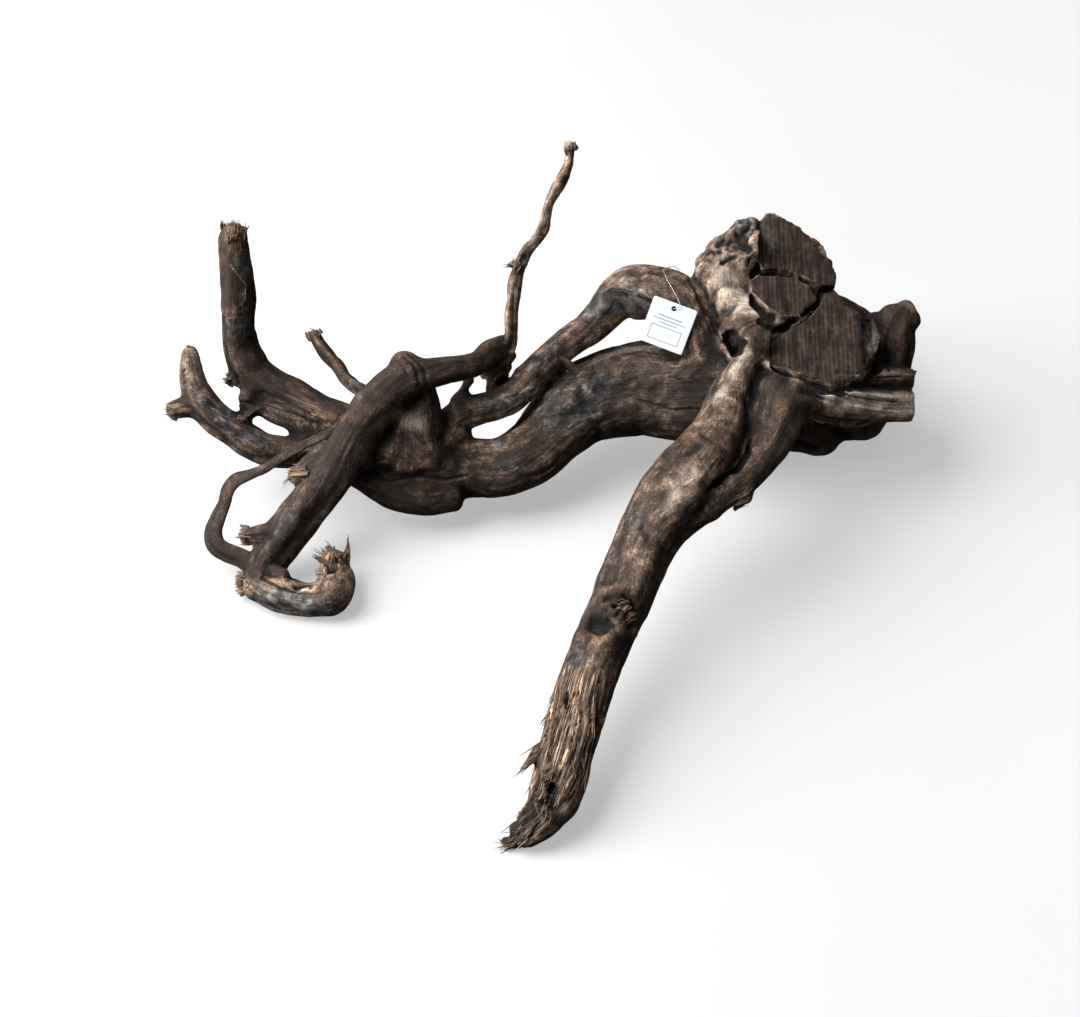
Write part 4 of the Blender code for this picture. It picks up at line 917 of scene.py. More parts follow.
# Lines cut into the skin: picture points, half width and depth in mm, and how dark the line is
GROOVES = [
    ([(403, 357), (411, 362), (417, 372), (419, 388)], 1.3, 1.8, 1.0),
    ([(409, 355), (419, 362), (425, 372), (427, 386)], 1.2, 1.6, 0.9),
    ([(397, 362), (404, 368), (409, 378)], 1.0, 1.2, 0.8),
    ([(700, 434), (710, 440), (718, 445), (727, 452)], 2.2, 0.9, 0.35),
    ([(560, 700), (556, 726), (550, 752), (546, 776)], 1.2, 2.4, 0.9),
    ([(572, 706), (566, 738), (560, 766)], 1.0, 2.2, 0.9),
    ([(552, 694), (549, 716), (545, 742)], 0.9, 1.8, 0.8),
    ([(566, 694), (564, 708)], 1.8, 3.5, 1.0),
    ([(582, 712), (577, 744), (570, 772)], 1.0, 1.8, 0.8),
    ([(560, 772), (552, 790), (540, 806)], 2.4, 4.0, 1.0),
    ([(534, 802), (528, 816), (522, 830)], 1.0, 2.0, 0.9),
    ([(545, 812), (536, 826), (528, 842)], 1.0, 2.0, 0.9),
    ([(528, 846), (540, 842), (552, 834)], 0.9, 1.6, 0.8),
    ([(370, 478), (392, 482), (420, 476), (446, 480), (470, 474)], 1.3, 2.0, 0.8),
    ([(838, 372), (858, 374), (880, 378), (904, 376)], 1.4, 2.6, 1.0),
    ([(842, 382), (866, 384), (890, 388)], 0.9, 1.4, 0.8),
    ([(850, 396), (872, 400), (898, 402)], 0.9, 1.2, 0.6),
    ([(236, 402), (262, 404), (292, 412), (322, 424)], 1.2, 2.0, 0.8),
    ([(262, 392), (286, 400), (312, 414), (336, 430)], 1.0, 1.6, 0.7),
    ([(262, 578), (280, 588), (296, 592)], 1.6, 2.4, 0.8),
    ([(288, 560), (306, 574), (312, 590)], 1.2, 1.8, 0.8),
    ([(236, 574), (256, 588), (262, 594)], 0.8, 1.0, 0.7),
    ([(688, 280), (700, 300), (712, 320), (722, 344)], 1.6, 2.2, 0.8),
    ([(640, 400), (672, 410), (700, 408)], 1.2, 1.4, 0.6),
    ([(606, 599), (622, 597), (634, 602), (638, 614), (630, 627)], 2.4, 5.0, 1.0),
    ([(588, 627), (598, 632), (610, 629)], 2.0, 3.0, 1.0),
    ([(869, 322), (876, 345), (880, 368)], 3.0, 6.0, 1.0),
    ([(888, 330), (886, 352), (890, 372)], 1.6, 2.0, 0.7),
    ([(590, 352), (594, 372), (588, 392)], 1.0, 1.2, 0.6),
    ([(216, 252), (226, 262), (240, 268)], 0.6, 0.6, 0.3),
    ([(505, 398), (530, 392), (560, 380), (592, 376)], 0.9, 1.0, 0.5),
    ([(508, 430), (534, 420), (566, 414), (600, 412)], 0.8, 0.9, 0.5),
]

# Thin edges of peeled skin, in the same form, but raised and paler than the wood beside them
PEELED_EDGES = [
    ([(231, 265), (238, 275), (246, 285), (244, 302), (236, 308), (235, 319), (226, 321)], 0.7, -0.7, 1.0),
    ([(226, 345), (230, 356), (234, 366)], 0.7, -0.6, 0.8),
    ([(505, 412), (520, 402), (545, 398), (562, 390), (584, 388)], 0.7, -0.6, 0.7),
    ([(540, 440), (560, 432), (580, 420), (604, 412)], 0.7, -0.6, 0.7),
    ([(590, 560), (596, 576), (592, 592)], 0.6, -0.5, 0.7),
    ([(562, 640), (574, 652), (570, 676), (562, 690)], 0.6, -0.5, 0.6),
    ([(846, 392), (872, 394), (900, 398)], 0.9, -1.2, 1.0),
    ([(850, 406), (876, 410), (902, 412)], 0.8, -0.9, 0.8),
    ([(212, 408), (226, 416), (238, 412), (252, 424)], 0.6, -0.6, 0.9),
    ([(706, 408), (714, 387), (727, 367), (743, 351)], 0.8, -0.6, 0.5),
    ([(596, 700), (590, 740), (582, 776), (566, 800)], 0.9, -1.0, 0.8),
    ([(578, 700), (572, 736), (564, 770), (556, 790)], 0.8, -1.0, 0.8),
    ([(560, 840), (546, 848), (530, 852)], 0.8, -0.9, 0.8),
    ([(575, 812), (566, 826), (556, 838)], 0.7, -0.8, 0.9),
]


def seen_at(points):
    """Where the picture shows each point: its x and y in picture pixels."""
    tilt = math.radians(VIEW_ELEVATION_DEG)
    spots = points / MM - np.array(CENTRE_SHIFT_MM) - np.array(TOWARDS_EYE) * VIEW_DISTANCE_MM
    depth = -spots @ np.array(TOWARDS_EYE)
    up = spots[:, 1] * math.sin(tilt) + spots[:, 2] * math.cos(tilt)
    focal = VIEW_DISTANCE_MM / PICTURE_SCALE_MM
    return PICTURE_CENTRE_X + spots[:, 0] / depth * focal, PICTURE_CENTRE_Y - up / depth * focal


def inside_outline(x, y, outline):
    """Whether each picture point lies inside the outline."""
    inside = np.zeros(len(x), dtype=bool)
    for (x0, y0), (x1, y1) in zip(outline, [*outline[1:], outline[0]]):
        if y0 != y1:
            crossed = (y0 > y) != (y1 > y)
            inside ^= crossed & (x < x0 + (y - y0) / (y1 - y0) * (x1 - x0))
    return inside


def sawn_share(points, normals):
    """1 on the flat sawn faces and 0 elsewhere."""
    x, y = seen_at(points)
    faces = sum(inside_outline(x, y, outline) for outline in SAWN_LOBES.values()) > 0
    base = np.array(sighted(SAW_PLANE_X, SAW_PLANE_Y, SAW_PLANE_HEIGHT_MM))
    gap = np.abs((points - base) @ np.array(saw_normal()))
    facing = normals @ np.array(saw_normal())
    return eased(-gap, -1.6 * MM, -0.7 * MM) * eased(facing, 0.86, 0.96) * faces


def along_marks(points, tree, marks):
    """How much each point rises in mm by the lines, and how strongly it lies in one."""
    rise, share = np.zeros(len(points)), np.zeros(len(points))
    for spots, half_mm, depth_mm, strength in marks:
        path = []
        for (x0, y0), (x1, y1) in zip(spots, spots[1:]):
            count = max(2, round(math.hypot(x1 - x0, y1 - y0) / 2))
            path += [seen_point(tree, x0 + (x1 - x0) * i / count, y0 + (y1 - y0) * i / count)
                     for i in range(count)]
        path = np.array(path)
        index = points_near(points, path, half_mm * MM * 4)
        if len(index) == 0:
            continue
        gap = np.linalg.norm(points[index][:, None] - path[None], axis=2).min(axis=1) / (half_mm * MM)
        gap = gap * (1 + 0.35 * lattice_noise(points[index] / 0.004, 71))
        weight = np.exp(-gap ** 2)
        rise[index] -= weight * depth_mm
        share[index] = np.maximum(share[index], weight * strength)
    return rise, share


def knot_relief(points, tree, knots):
    """Rings that stand and fall round each knot, from -1 to 1, and how near a knot a point is."""
    rings, share = np.zeros(len(points)), np.zeros(len(points))
    for x, y, radius_mm in knots:
        gap = np.linalg.norm(points - seen_point(tree, x, y), axis=1) / (radius_mm * MM)
        weight = np.exp(-gap ** 2)
        rings += weight * np.cos(gap * 8.5 + lattice_noise(points / 0.006, 3) * 1.3)
        share = np.maximum(share, weight)
    return rings, share


# What each table of strokes paints
PAINTED = {
    "grey": GREY_SKIN, "warm": TORN_WARM, "pale": PALE_WEAR_AND_PAINTED_LIGHT, "dark": DARK_STAIN_AND_PAINTED_SHADE, "burl": BURL_BUMPS,
    "fray": LEG_FRAY, "wrinkles": RING_WRINKLES, "shreds": SHREDDED, "pits": PITS, "lumps": LUMPS,
}

# Noise drawn out along the fibres: length and width of a swell in mm, seed and octaves
FIBRE_NOISES = {
    "strands": (95, 15, 11, 2), "cords": (44, 5.5, 23, 2), "hairs": (22, 2.4, 37, 2),
    "splits": (60, 8, 51, 1), "patches": (30, 14, 77, 3), "dents": (26, 15, 83, 2),
    "across": (4.2, 30, 61, 1),
}

# Noise that is the same all ways: size of a swell in metres, and seed
EVEN_NOISES = {"swells": (0.034, 91), "bumps": (0.012, 97), "crumbs": (0.006, 99)}

# Ridged noise: how far its crests stand out and how far the ground between them sinks, in mm
RIDGES_MM = {"dents": (1.5, 0.55), "strands": (0.5, 0.18), "cords": (0.2, 0.07), "hairs": (0.12, 0.04)}
SHREDS_MM = (7.0, 1.8)

# How much deeper the ridges are in torn wood: this many times more
TORN_GAIN = {"strands": 3.0, "cords": 11.0, "hairs": 9.0}

# The rest of the relief: a split's depth in plain wood and what torn wood adds, a knot's rings and its
# middle, and on the burl the rise of bumps and of crumbs and the sinking of the ground
SWELL_MM = 1.5
SKIN_LAYER_MM = 0.5
SPLIT_MM = (0.25, 2.8)
KNOT_MM = (0.12, 1.3)
WRINKLE_MM = 1.4
BURL_MM = (5.2, 2.4, 2.2)
SAW_MARK_SPACING_MM = 3.8
SAW_MARK_MM = 0.14

# Wood this low rests on the floor, so it rises by no more than this
RESTING_HEIGHT_MM = 3.0
RESTING_RISE_MM = 0.3


def skin_marks(points, normals, tree, near):
    """All that the skin's relief and tones are made from, each a value at every point."""
    marks = {name: painted_spots(points, tree, spots) for name, spots in PAINTED.items()}
    marks |= {name: streaks(points, near, *sizes) for name, sizes in FIBRE_NOISES.items()}
    marks |= {name: grown_noise(points / size, seed, 2) for name, (size, seed) in EVEN_NOISES.items()}
    marks["rings"], marks["knotted"] = knot_relief(points, tree, GRAIN_KNOTS)
    marks["cut"], marks["slit"] = along_marks(points, tree, GROOVES)
    marks["lifted"], marks["peeled"] = along_marks(points, tree, PEELED_EDGES)
    marks["sawn"] = sawn_share(points, normals)
    marks["deep"] = np.zeros(len(points))
    for index, share, _, deep in near:
        marks["deep"][index] += share * deep
    return SimpleNamespace(**marks)


def ridges(noise, crest_mm, ground_mm):
    """Sharp-floored ridges from a noise, in mm."""
    return np.abs(noise) * crest_mm - ground_mm


def relief_height(points, at):
    """How far each point of the skin stands out in mm."""
    plain = (1 - at.burl) * (1 - at.sawn)
    ragged = np.maximum(at.fray, at.warm * 0.6)
    skin = eased(at.grey + at.patches * 0.42, 0.42, 0.52)
    deepened = {name: 1 + gain * ragged for name, gain in TORN_GAIN.items()}
    height = at.swells * SWELL_MM * plain
    height += ridges(at.dents, *RIDGES_MM["dents"]) * (1 - 0.7 * at.pale) * plain
    height += ridges(at.strands, *RIDGES_MM["strands"]) * deepened["strands"] * plain
    height += ridges(at.cords, *RIDGES_MM["cords"]) * deepened["cords"] * (1 - 0.6 * skin) * plain
    height += ridges(at.hairs, *RIDGES_MM["hairs"]) * deepened["hairs"] * (1 - 0.7 * skin) * plain
    split = np.exp(-(at.splits / 0.07) ** 2) * eased(at.patches, 0.0, 0.5)
    height -= split * (SPLIT_MM[0] + SPLIT_MM[1] * ragged) * plain * (1 - 0.6 * at.pale)
    height += at.cut + at.lifted + at.lumps - at.pits
    height += (at.rings * KNOT_MM[0] + at.knotted * KNOT_MM[1]) * plain
    height += ridges(at.crumbs, *SHREDS_MM) * at.shreds * plain
    height += skin * SKIN_LAYER_MM * plain
    height -= np.abs(at.across) ** 3 * at.wrinkles * WRINKLE_MM
    bump_mm, crumb_mm, ground_mm = BURL_MM
    height += (np.abs(at.bumps) * bump_mm + np.abs(at.crumbs) * crumb_mm - ground_mm) * at.burl
    first_mark = sighted(SAW_PLANE_X, SAW_PLANE_Y, SAW_PLANE_HEIGHT_MM).x
    marks = (points[:, 0] - first_mark) / MM + lattice_noise(points / 0.02, 8) * 0.8
    waves = np.sin(marks * math.tau / SAW_MARK_SPACING_MM) * SAW_MARK_MM
    height += at.sawn * (waves * (1 + at.swells) + at.swells * 0.3)
    resting = points[:, 2] < RESTING_HEIGHT_MM * MM
    return np.where(resting, np.minimum(height, RESTING_RISE_MM), height)


def relief(mesh, lines):
    """Gives the skin its relief, and returns the tones of its points for the material, by name."""
    points, normals, edges = mesh_arrays(mesh)
    tree = BVHTree.FromPolygons([tuple(p) for p in points], [tuple(face.vertices) for face in mesh.polygons])
    at = skin_marks(points, normals, tree, near_limbs(points, lines))
    moved = points + normals * relief_height(points, at)[:, None] * MM
    moved[:, 2] = np.maximum(moved[:, 2], 0.0)
    mesh.vertices.foreach_set("co", moved.ravel())
    mesh.update()
    points, normals, edges = mesh_arrays(mesh)
    # How hollow each point lies, finely and broadly; the material paints shade into the hollows and highlight
    # onto the crests by these
    fine = ((neighbour_mean(points, edges, 4) - points) * normals).sum(1) / MM
    broad = ((neighbour_mean(points, edges, 40) - points) * normals).sum(1) / MM
    # The dark tone holds stains and painted shade from the dark strokes, and painted shade in the pits by
    # their depth
    return {
        "grey": np.clip(at.grey * 1.1 + at.patches * 0.33, 0, 1), "warm": at.warm, "pale": at.pale,
        "dark": np.maximum(at.dark, np.clip(at.pits / 4, 0, 1)),
        "deep": np.clip(at.deep, 0, 1) * (1 - np.clip(at.pale, 0, 1)), "sawn": at.sawn,
        "fine": np.clip(0.5 + fine * 0.8, 0, 1), "broad": np.clip(0.5 + broad * 0.22, 0, 1),
        "fray": np.clip(at.fray, 0, 1), "slit": at.slit, "peeled": at.peeled,
    }


def thinned(body, tones):
    """The body with no more than the stated triangles, its tones carried over."""
    points = mesh_arrays(body.data)[0]
    tree = KDTree(len(points))
    for i, point in enumerate(points):
        tree.insert(point, i)
    tree.balance()
    body.modifiers.new("triangles", "TRIANGULATE")
    applied(body)
    thin = body.modifiers.new("thin", "DECIMATE")
    thin.ratio = min(1.0, SKIN_TRIANGLES / len(body.data.polygons))
    applied(body)
    kept = mesh_arrays(body.data)[0]
    source = np.array([tree.find(point)[1] for point in kept])
    for name, values in tones.items():
        layer = body.data.attributes.new(name, "FLOAT", "POINT")
        layer.data.foreach_set("value", values[source].astype(np.float32))
    return body


def grain_attribute(body, lines):
    """Stores at every face corner where it lies along and across the fibres, in mm."""
    mesh = body.data
    points = mesh_arrays(mesh)[0]
    corners = np.empty(len(mesh.loops), dtype=np.int32)
    mesh.loops.foreach_get("vertex_index", corners)
    centres = points[corners.reshape(-1, 3)].mean(axis=1)
    gaps = np.full((len(lines), len(centres)), FAR)
    for number, line in enumerate(lines):
        index = points_near(centres, line["path"], line["radii"].max() + GRAIN_REACH_MM * MM)
        if len(index):
            gaps[number, index] = along_line(centres[index], line)[0]
    owner = gaps.argmin(axis=0)
    ranked = np.sort(gaps, axis=0)
    trust = eased(ranked[1] - ranked[0], 0.0, 5 * MM)
    place = np.zeros((len(centres), 3, 3))
    for number, line in enumerate(lines):
        index = np.nonzero(owner == number)[0]
        if len(index) == 0:
            continue
        spots = points[corners.reshape(-1, 3)[index]].reshape(-1, 3)
        _, travel, turn = along_line(spots, line)
        place[index] = fibre_place(line, number, travel, turn).reshape(-1, 3, 3)
    layer = mesh.attributes.new("fibre_place", "FLOAT_VECTOR", "CORNER")
    layer.data.foreach_set("vector", place.astype(np.float32).ravel())
    sums = np.bincount(corners, weights=np.repeat(trust, 3), minlength=len(points))
    counts = np.bincount(corners, minlength=len(points))
    layer = mesh.attributes.new("fibre_trust", "FLOAT", "POINT")
    layer.data.foreach_set("value", (sums / np.maximum(counts, 1)).astype(np.float32))


class Nodes:
    """Short ways to lay out one node tree."""

    def __init__(self, tree):
        self.tree = tree

    def add(self, kind, inputs=None, **settings):
        node = self.tree.nodes.new(kind)
        for key, value in settings.items():
            setattr(node, key, value)
        for key, value in (inputs or {}).items():
            if isinstance(value, bpy.types.NodeSocket):
                self.tree.links.new(value, node.inputs[key])
            else:
                node.inputs[key].default_value = value
        return node

    def math(self, operation, a, b=0.0, clamp=False):
        return self.add("ShaderNodeMath", {0: a, 1: b}, operation=operation, use_clamp=clamp).outputs[0]

    def weighted(self, *pairs):
        """The sum of the values, each times its weight."""
        total = None
        for value, weight in pairs:
            part = self.math("MULTIPLY", value, weight)
            total = part if total is None else self.math("ADD", total, part)
        return total

    def ragged(self, value, noise, amount):
        """The value, raised and lowered by a noise."""
        return self.math("ADD", value, self.math("MULTIPLY", self.math("SUBTRACT", noise, 0.5), amount))

    def stored(self, name):
        """A number that the mesh carries."""
        return self.add("ShaderNodeAttribute", attribute_name=name).outputs["Fac"]

    def object_place(self):
        return self.add("ShaderNodeTexCoord").outputs["Object"]

    def noise(self, place, scale, detail=3.0, rough=0.55):
        node = self.add("ShaderNodeTexNoise", {"Vector": place, "Scale": scale, "Detail": detail,
                                               "Roughness": rough})
        return node.outputs[0]

    def fibre_noise(self, place, along, across, detail, rough):
        """Noise drawn out along the fibres, with its swells to a mm along and across them."""
        return self.noise(self.stretched(place, (along, across, across)), 1.0, detail, rough)

    def stretched(self, place, sizes):
        node = self.add("ShaderNodeVectorMath", {0: place, 1: sizes}, operation="MULTIPLY")
        return node.outputs[0]

    def rise(self, value, low, high, to_low=0.0, to_high=1.0):
        node = self.add("ShaderNodeMapRange", {0: value, 1: low, 2: high, 3: to_low, 4: to_high},
                        interpolation_type="SMOOTHSTEP")
        return node.outputs[0]

    def mixed(self, share, a, b, blend="MIX"):
        node = self.add("ShaderNodeMix", data_type="RGBA", blend_type=blend)
        for key, value in ((0, share), (6, a), (7, b)):
            if isinstance(value, bpy.types.NodeSocket):
                self.tree.links.new(value, node.inputs[key])
            else:
                node.inputs[key].default_value = value
        return node.outputs[2]

    def over(self, below, above, share, most):
        """One colour laid over another by a share, and by no more than the most."""
        return self.mixed(self.math("MULTIPLY", share, most), below, above)

    def shaded(self, colour, value, stops):
        """The colour times a ramp of the value."""
        return self.mixed(1.0, colour, self.ramp(value, stops), "MULTIPLY")

    def ramp(self, value, stops):
        node = self.add("ShaderNodeValToRGB", {0: value})
        ramp = node.color_ramp
        while len(ramp.elements) < len(stops):
            ramp.elements.new(0.5)
        for element, (place, colour) in zip(ramp.elements, stops):
            element.position = place
            element.color = (*colour, 1)
        return node.outputs[0]

    def parts(self, vector):
        return self.add("ShaderNodeSeparateXYZ", {0: vector}).outputs

    def finish(self, surface, colour, rough, height, strength, distance):
        """Joins colour, roughness and a bumped normal to the surface shader."""
        bump = self.add("ShaderNodeBump", {"Strength": strength, "Distance": distance, "Height": height})
        self.tree.links.new(colour, surface.inputs["Base Color"])
        self.tree.links.new(rough, surface.inputs["Roughness"])
        self.tree.links.new(bump.outputs[0], surface.inputs["Normal"])


def new_material(name):
    """A material with its surface shader, ready for nodes."""
    material = bpy.data.materials.new(name)
    material.use_nodes = True
    return material, Nodes(material.node_tree), material.node_tree.nodes["Principled BSDF"]


# Colours on a ramp: the place of each, then its linear red, green and blue
PLAIN_WOOD = [(0.40, (0.024, 0.016, 0.012)), (0.47, (0.064, 0.045, 0.033)),
              (0.53, (0.125, 0.092, 0.070)), (0.61, (0.222, 0.176, 0.140))]
GREY_WOOD = [(0.38, (0.017, 0.016, 0.017)), (0.47, (0.040, 0.040, 0.042)),
             (0.55, (0.080, 0.079, 0.080)), (0.66, (0.125, 0.124, 0.125))]
WARM_WOOD = [(0.34, (0.032, 0.020, 0.013)), (0.5, (0.098, 0.066, 0.043)), (0.7, (0.215, 0.158, 0.110))]
PALE_WOOD = [(0.36, (0.125, 0.107, 0.090)), (0.46, (0.175, 0.152, 0.130)), (0.62, (0.240, 0.211, 0.184))]
TORN_WOOD = [(0.38, (0.010, 0.006, 0.004)), (0.47, (0.048, 0.032, 0.022)),
             (0.56, (0.125, 0.090, 0.062)), (0.68, (0.29, 0.222, 0.165))]
SAWN_WOOD = [(0.38, (0.008, 0.005, 0.004)), (0.48, (0.016, 0.010, 0.008)),
             (0.56, (0.029, 0.019, 0.014)), (0.68, (0.062, 0.043, 0.032))]

# Shades that multiply the wood; the fine and broad ones are painted shade in hollows and painted highlight
# and wear on crests
HAIR_SHADE = [(0.32, (0.86, 0.855, 0.85)), (0.66, (1.1, 1.1, 1.1))]
FINE_PAINTED_SHADE_AND_HIGHLIGHT = [(0.25, (1.22, 1.22, 1.21)), (0.5, (1, 1, 1)), (0.8, (0.34, 0.32, 0.31))]
BROAD_PAINTED_SHADE_AND_HIGHLIGHT = [(0.25, (1.38, 1.37, 1.36)), (0.5, (1, 1, 1)), (0.85, (0.26, 0.24, 0.23))]
RED_SHADE = [(0.38, (0.94, 0.96, 0.98)), (0.62, (1.06, 1.0, 0.92))]
CHIP_SHADE = [(0.40, (0.72, 0.71, 0.70)), (0.46, (0.95, 0.95, 0.95)),
              (0.54, (1.02, 1.02, 1.02)), (0.60, (1.22, 1.22, 1.21))]
GAMMA = 1.38
BRIGHTNESS = (1.80, 1.80, 1.82, 1)
SATURATION = 0.86

# Single colours
SKIN_RIM = (0.30, 0.265, 0.23, 1)
STAIN_AND_PAINTED_SHADE = (0.020, 0.014, 0.011, 1)
DEEPEST = (0.006, 0.005, 0.004, 1)
DARK_LIMB = (0.018, 0.011, 0.008, 1)
HAIRLINE_CRACK = (0.016, 0.011, 0.009, 1)
PEELED_SKIN = (0.30, 0.26, 0.22, 1)
SLIT_FLOOR = (0.010, 0.007, 0.006, 1)
SAW_SCRATCH = (0.27, 0.22, 0.18, 1)

# Even noises by their scale to a metre, detail and roughness
WOOD_NOISES = {
    "speck": (620.0, 3.0, 0.65), "cloud": (30.0, 5.0, 0.62), "mottle": (110.0, 5.0, 0.68),
    "redness": (17.0, 3.0, 0.6),
}

# Noises along the fibres: swells to a mm along and across them, detail, roughness, and the even noise
# that stands in where two limbs meet
WOOD_FIBRE_NOISES = {
    "hair": (0.045, 0.85, 3.0, 0.6, "speck"), "band": (0.016, 0.2, 3.0, 0.55, "mottle"),
    "strand": (0.035, 0.55, 3.0, 0.6, "mottle"), "check": (0.03, 0.34, 2.0, 0.5, "mottle"),
}
WOOD_TONES = ("grey", "warm", "pale", "dark", "deep", "sawn", "fine", "broad", "fray", "slit", "peeled")
SAW_SCRATCH_SPACING = 0.0038


def wood_values(n):
    """The mesh's tones and the noises that the wood's colour is mixed from, by name."""
    values = {name: n.stored(name) for name in WOOD_TONES}
    values["spot"] = n.object_place()
    fibre_place = n.add("ShaderNodeAttribute", attribute_name="fibre_place").outputs["Vector"]
    trust = n.stored("fibre_trust")
    for name, sizes in WOOD_NOISES.items():
        values[name] = n.noise(values["spot"], *sizes)
    for name, (*sizes, stand_in) in WOOD_FIBRE_NOISES.items():
        values[name] = n.mixed(trust, values[stand_in], n.fibre_noise(fibre_place, *sizes))
    values["edge"] = n.ragged(values["grey"], values["mottle"], 0.55)
    tone = n.weighted((values["mottle"], 0.75), (values["hair"], 0.25), (values["deep"], -0.05))
    values["grey_wood"] = n.ramp(tone, GREY_WOOD)
    return SimpleNamespace(**values)


def unsawn_wood(n, at):
    """The common wood, then its grey skin, torn places, worn places with painted light, and stains with
    painted shade, each over the last.
    """
    tone = n.weighted((at.band, 0.22), (at.cloud, 0.27), (at.mottle, 0.35), (at.speck, 0.16),
                      (at.deep, -0.085))
    wood = n.ramp(tone, PLAIN_WOOD)
    wood = n.over(wood, at.grey_wood, n.rise(at.edge, 0.45, 0.56), 0.85)
    rim = n.math("MULTIPLY", n.rise(at.edge, 0.42, 0.475), n.rise(at.edge, 0.48, 0.52, 1.0, 0.0))
    rim = n.math("MULTIPLY", rim, n.rise(at.cloud, 0.42, 0.6))
    wood = n.over(wood, SKIN_RIM, rim, 0.4)
    wood = n.mixed(n.rise(n.ragged(at.warm, at.band, 0.7), 0.35, 0.75), wood, n.ramp(at.hair, WARM_WOOD))
    wood = n.mixed(n.rise(n.ragged(at.fray, at.band, 0.8), 0.3, 0.7), wood, n.ramp(at.strand, TORN_WOOD))
    pale_wood = n.ramp(n.weighted((at.hair, 0.35), (at.mottle, 0.65)), PALE_WOOD)
    # Pale wear and painted light from the pale strokes
    wood = n.over(wood, pale_wood, n.rise(n.ragged(at.pale, at.cloud, 0.8), 0.25, 0.8), 0.8)
    # Stains and painted shade from the dark strokes
    wood = n.over(wood, STAIN_AND_PAINTED_SHADE, n.rise(n.ragged(at.dark, at.mottle, 0.6), 0.2, 0.9), 0.86)
    # Nearly black painted shade where the dark tone is strongest: the knot hole and the pits
    wood = n.over(wood, DEEPEST, n.rise(at.dark, 0.7, 1.0), 0.7)
    return n.over(wood, DARK_LIMB, at.deep, 0.62)


def aged_wood(n, at, wood, cracks):
    """The wood with painted shade in its hollows, painted highlight and wear on its crests, hairline cracks,
    and painted shade along its cut marks.
    """
    for value, shade in ((at.hair, HAIR_SHADE), (at.fine, FINE_PAINTED_SHADE_AND_HIGHLIGHT),
                         (at.broad, BROAD_PAINTED_SHADE_AND_HIGHLIGHT), (at.redness, RED_SHADE)):
        wood = n.shaded(wood, value, shade)
    wood = n.over(wood, HAIRLINE_CRACK, cracks, 0.7)
    wood = n.shaded(wood, n.weighted((at.speck, 0.5), (at.mottle, 0.5)), CHIP_SHADE)
    wood = n.add("ShaderNodeGamma", {"Color": wood, "Gamma": GAMMA}).outputs[0]
    wood = n.mixed(1.0, wood, BRIGHTNESS, "MULTIPLY")
    wood = n.add("ShaderNodeHueSaturation", {"Color": wood, "Saturation": SATURATION}).outputs[0]
    wood = n.over(wood, PEELED_SKIN, n.rise(at.peeled, 0.3, 0.8), 0.6)
    # Painted shade down the cut lines, darkest in the deep ones
    return n.over(wood, SLIT_FLOOR, n.rise(at.slit, 0.25, 0.85), 0.85)


def sawn_wood(n, at):
    """Dark end grain, greyed in patches and scratched across by the saw."""
    streak = n.noise(n.stretched(at.spot, (1.0, 0.12, 0.12)), 260.0, 2.0, 0.6)
    wobble = n.math("MULTIPLY", n.math("SUBTRACT", at.cloud, 0.5), 0.0035)
    across = n.math("ADD", n.parts(at.spot)[0], wobble)
    mark = n.math("SINE", n.math("MULTIPLY", across, math.tau / SAW_SCRATCH_SPACING))
    mark = n.math("MULTIPLY", n.rise(mark, -0.1, 1.0), n.rise(streak, 0.36, 0.62))
    wood = n.ramp(n.weighted((streak, 0.4), (at.mottle, 0.6)), SAWN_WOOD)
    wood = n.over(wood, n.mixed(0.35, at.grey_wood, wood), n.rise(at.edge, 0.42, 0.72), 0.6)
    return n.over(wood, SAW_SCRATCH, mark, 0.07)


def bog_wood_material():
    """Dark weathered wood: streaks along the fibres, grey skin, torn golden places, sawn faces."""
    material, n, surface = new_material("weathered_bog_wood")
    at = wood_values(n)
    cracks = n.rise(n.math("ABSOLUTE", n.math("SUBTRACT", at.check, 0.5)), 0.0, 0.014, 1.0, 0.0)
    cracks = n.math("MULTIPLY", cracks, n.rise(at.cloud, 0.46, 0.6))
    wood = aged_wood(n, at, unsawn_wood(n, at), cracks)
    wood = n.mixed(n.rise(at.sawn, 0.4, 0.6), wood, sawn_wood(n, at))
    rough = n.rise(n.math("ADD", at.mottle, n.math("MULTIPLY", at.grey, -0.2)), 0.3, 0.7, 0.62, 0.95)
    height = n.weighted((at.hair, 0.9), (at.speck, 0.5), (at.mottle, 0.5), (cracks, -0.5))
    n.tree.links.new(n.rise(at.sawn, 0.3, 0.7, 0.17, 0.08), surface.inputs["Specular IOR Level"])
    n.finish(surface, wood, rough, height, 0.85, 0.0012)
    return material


FIBRE_WOOD = [(0.15, (0.014, 0.008, 0.005)), (0.45, (0.050, 0.029, 0.017)),
              (0.68, (0.135, 0.085, 0.050)), (0.95, (0.31, 0.222, 0.145))]
FIBRE_ROOT_SHADE = [(0.0, (0.45, 0.43, 0.42)), (0.6, (1.05, 1.03, 1.0))]


def fibre_material():
    """Torn wood fibres, from dark roots to golden tips."""
    material, n, surface = new_material("torn_wood_fibre")
    grain = n.noise(n.object_place(), 900.0, 3.0, 0.6)
    colour = n.ramp(n.weighted((n.stored("fibre_tone"), 0.6), (grain, 0.4)), FIBRE_WOOD)
    colour = n.shaded(colour, n.stored("fibre_climb"), FIBRE_ROOT_SHADE)
    n.finish(surface, colour, n.rise(grain, 0.2, 0.8, 0.7, 0.95), grain, 0.4, 0.0004)
    return material


# The card's ruled lines: height down the card, half their thickness, left and right ends, as shares
CARD_LINES = [(0.34, 0.012, 0.22, 0.78), (0.42, 0.010, 0.14, 0.86), (0.49, 0.010, 0.30, 0.70)]

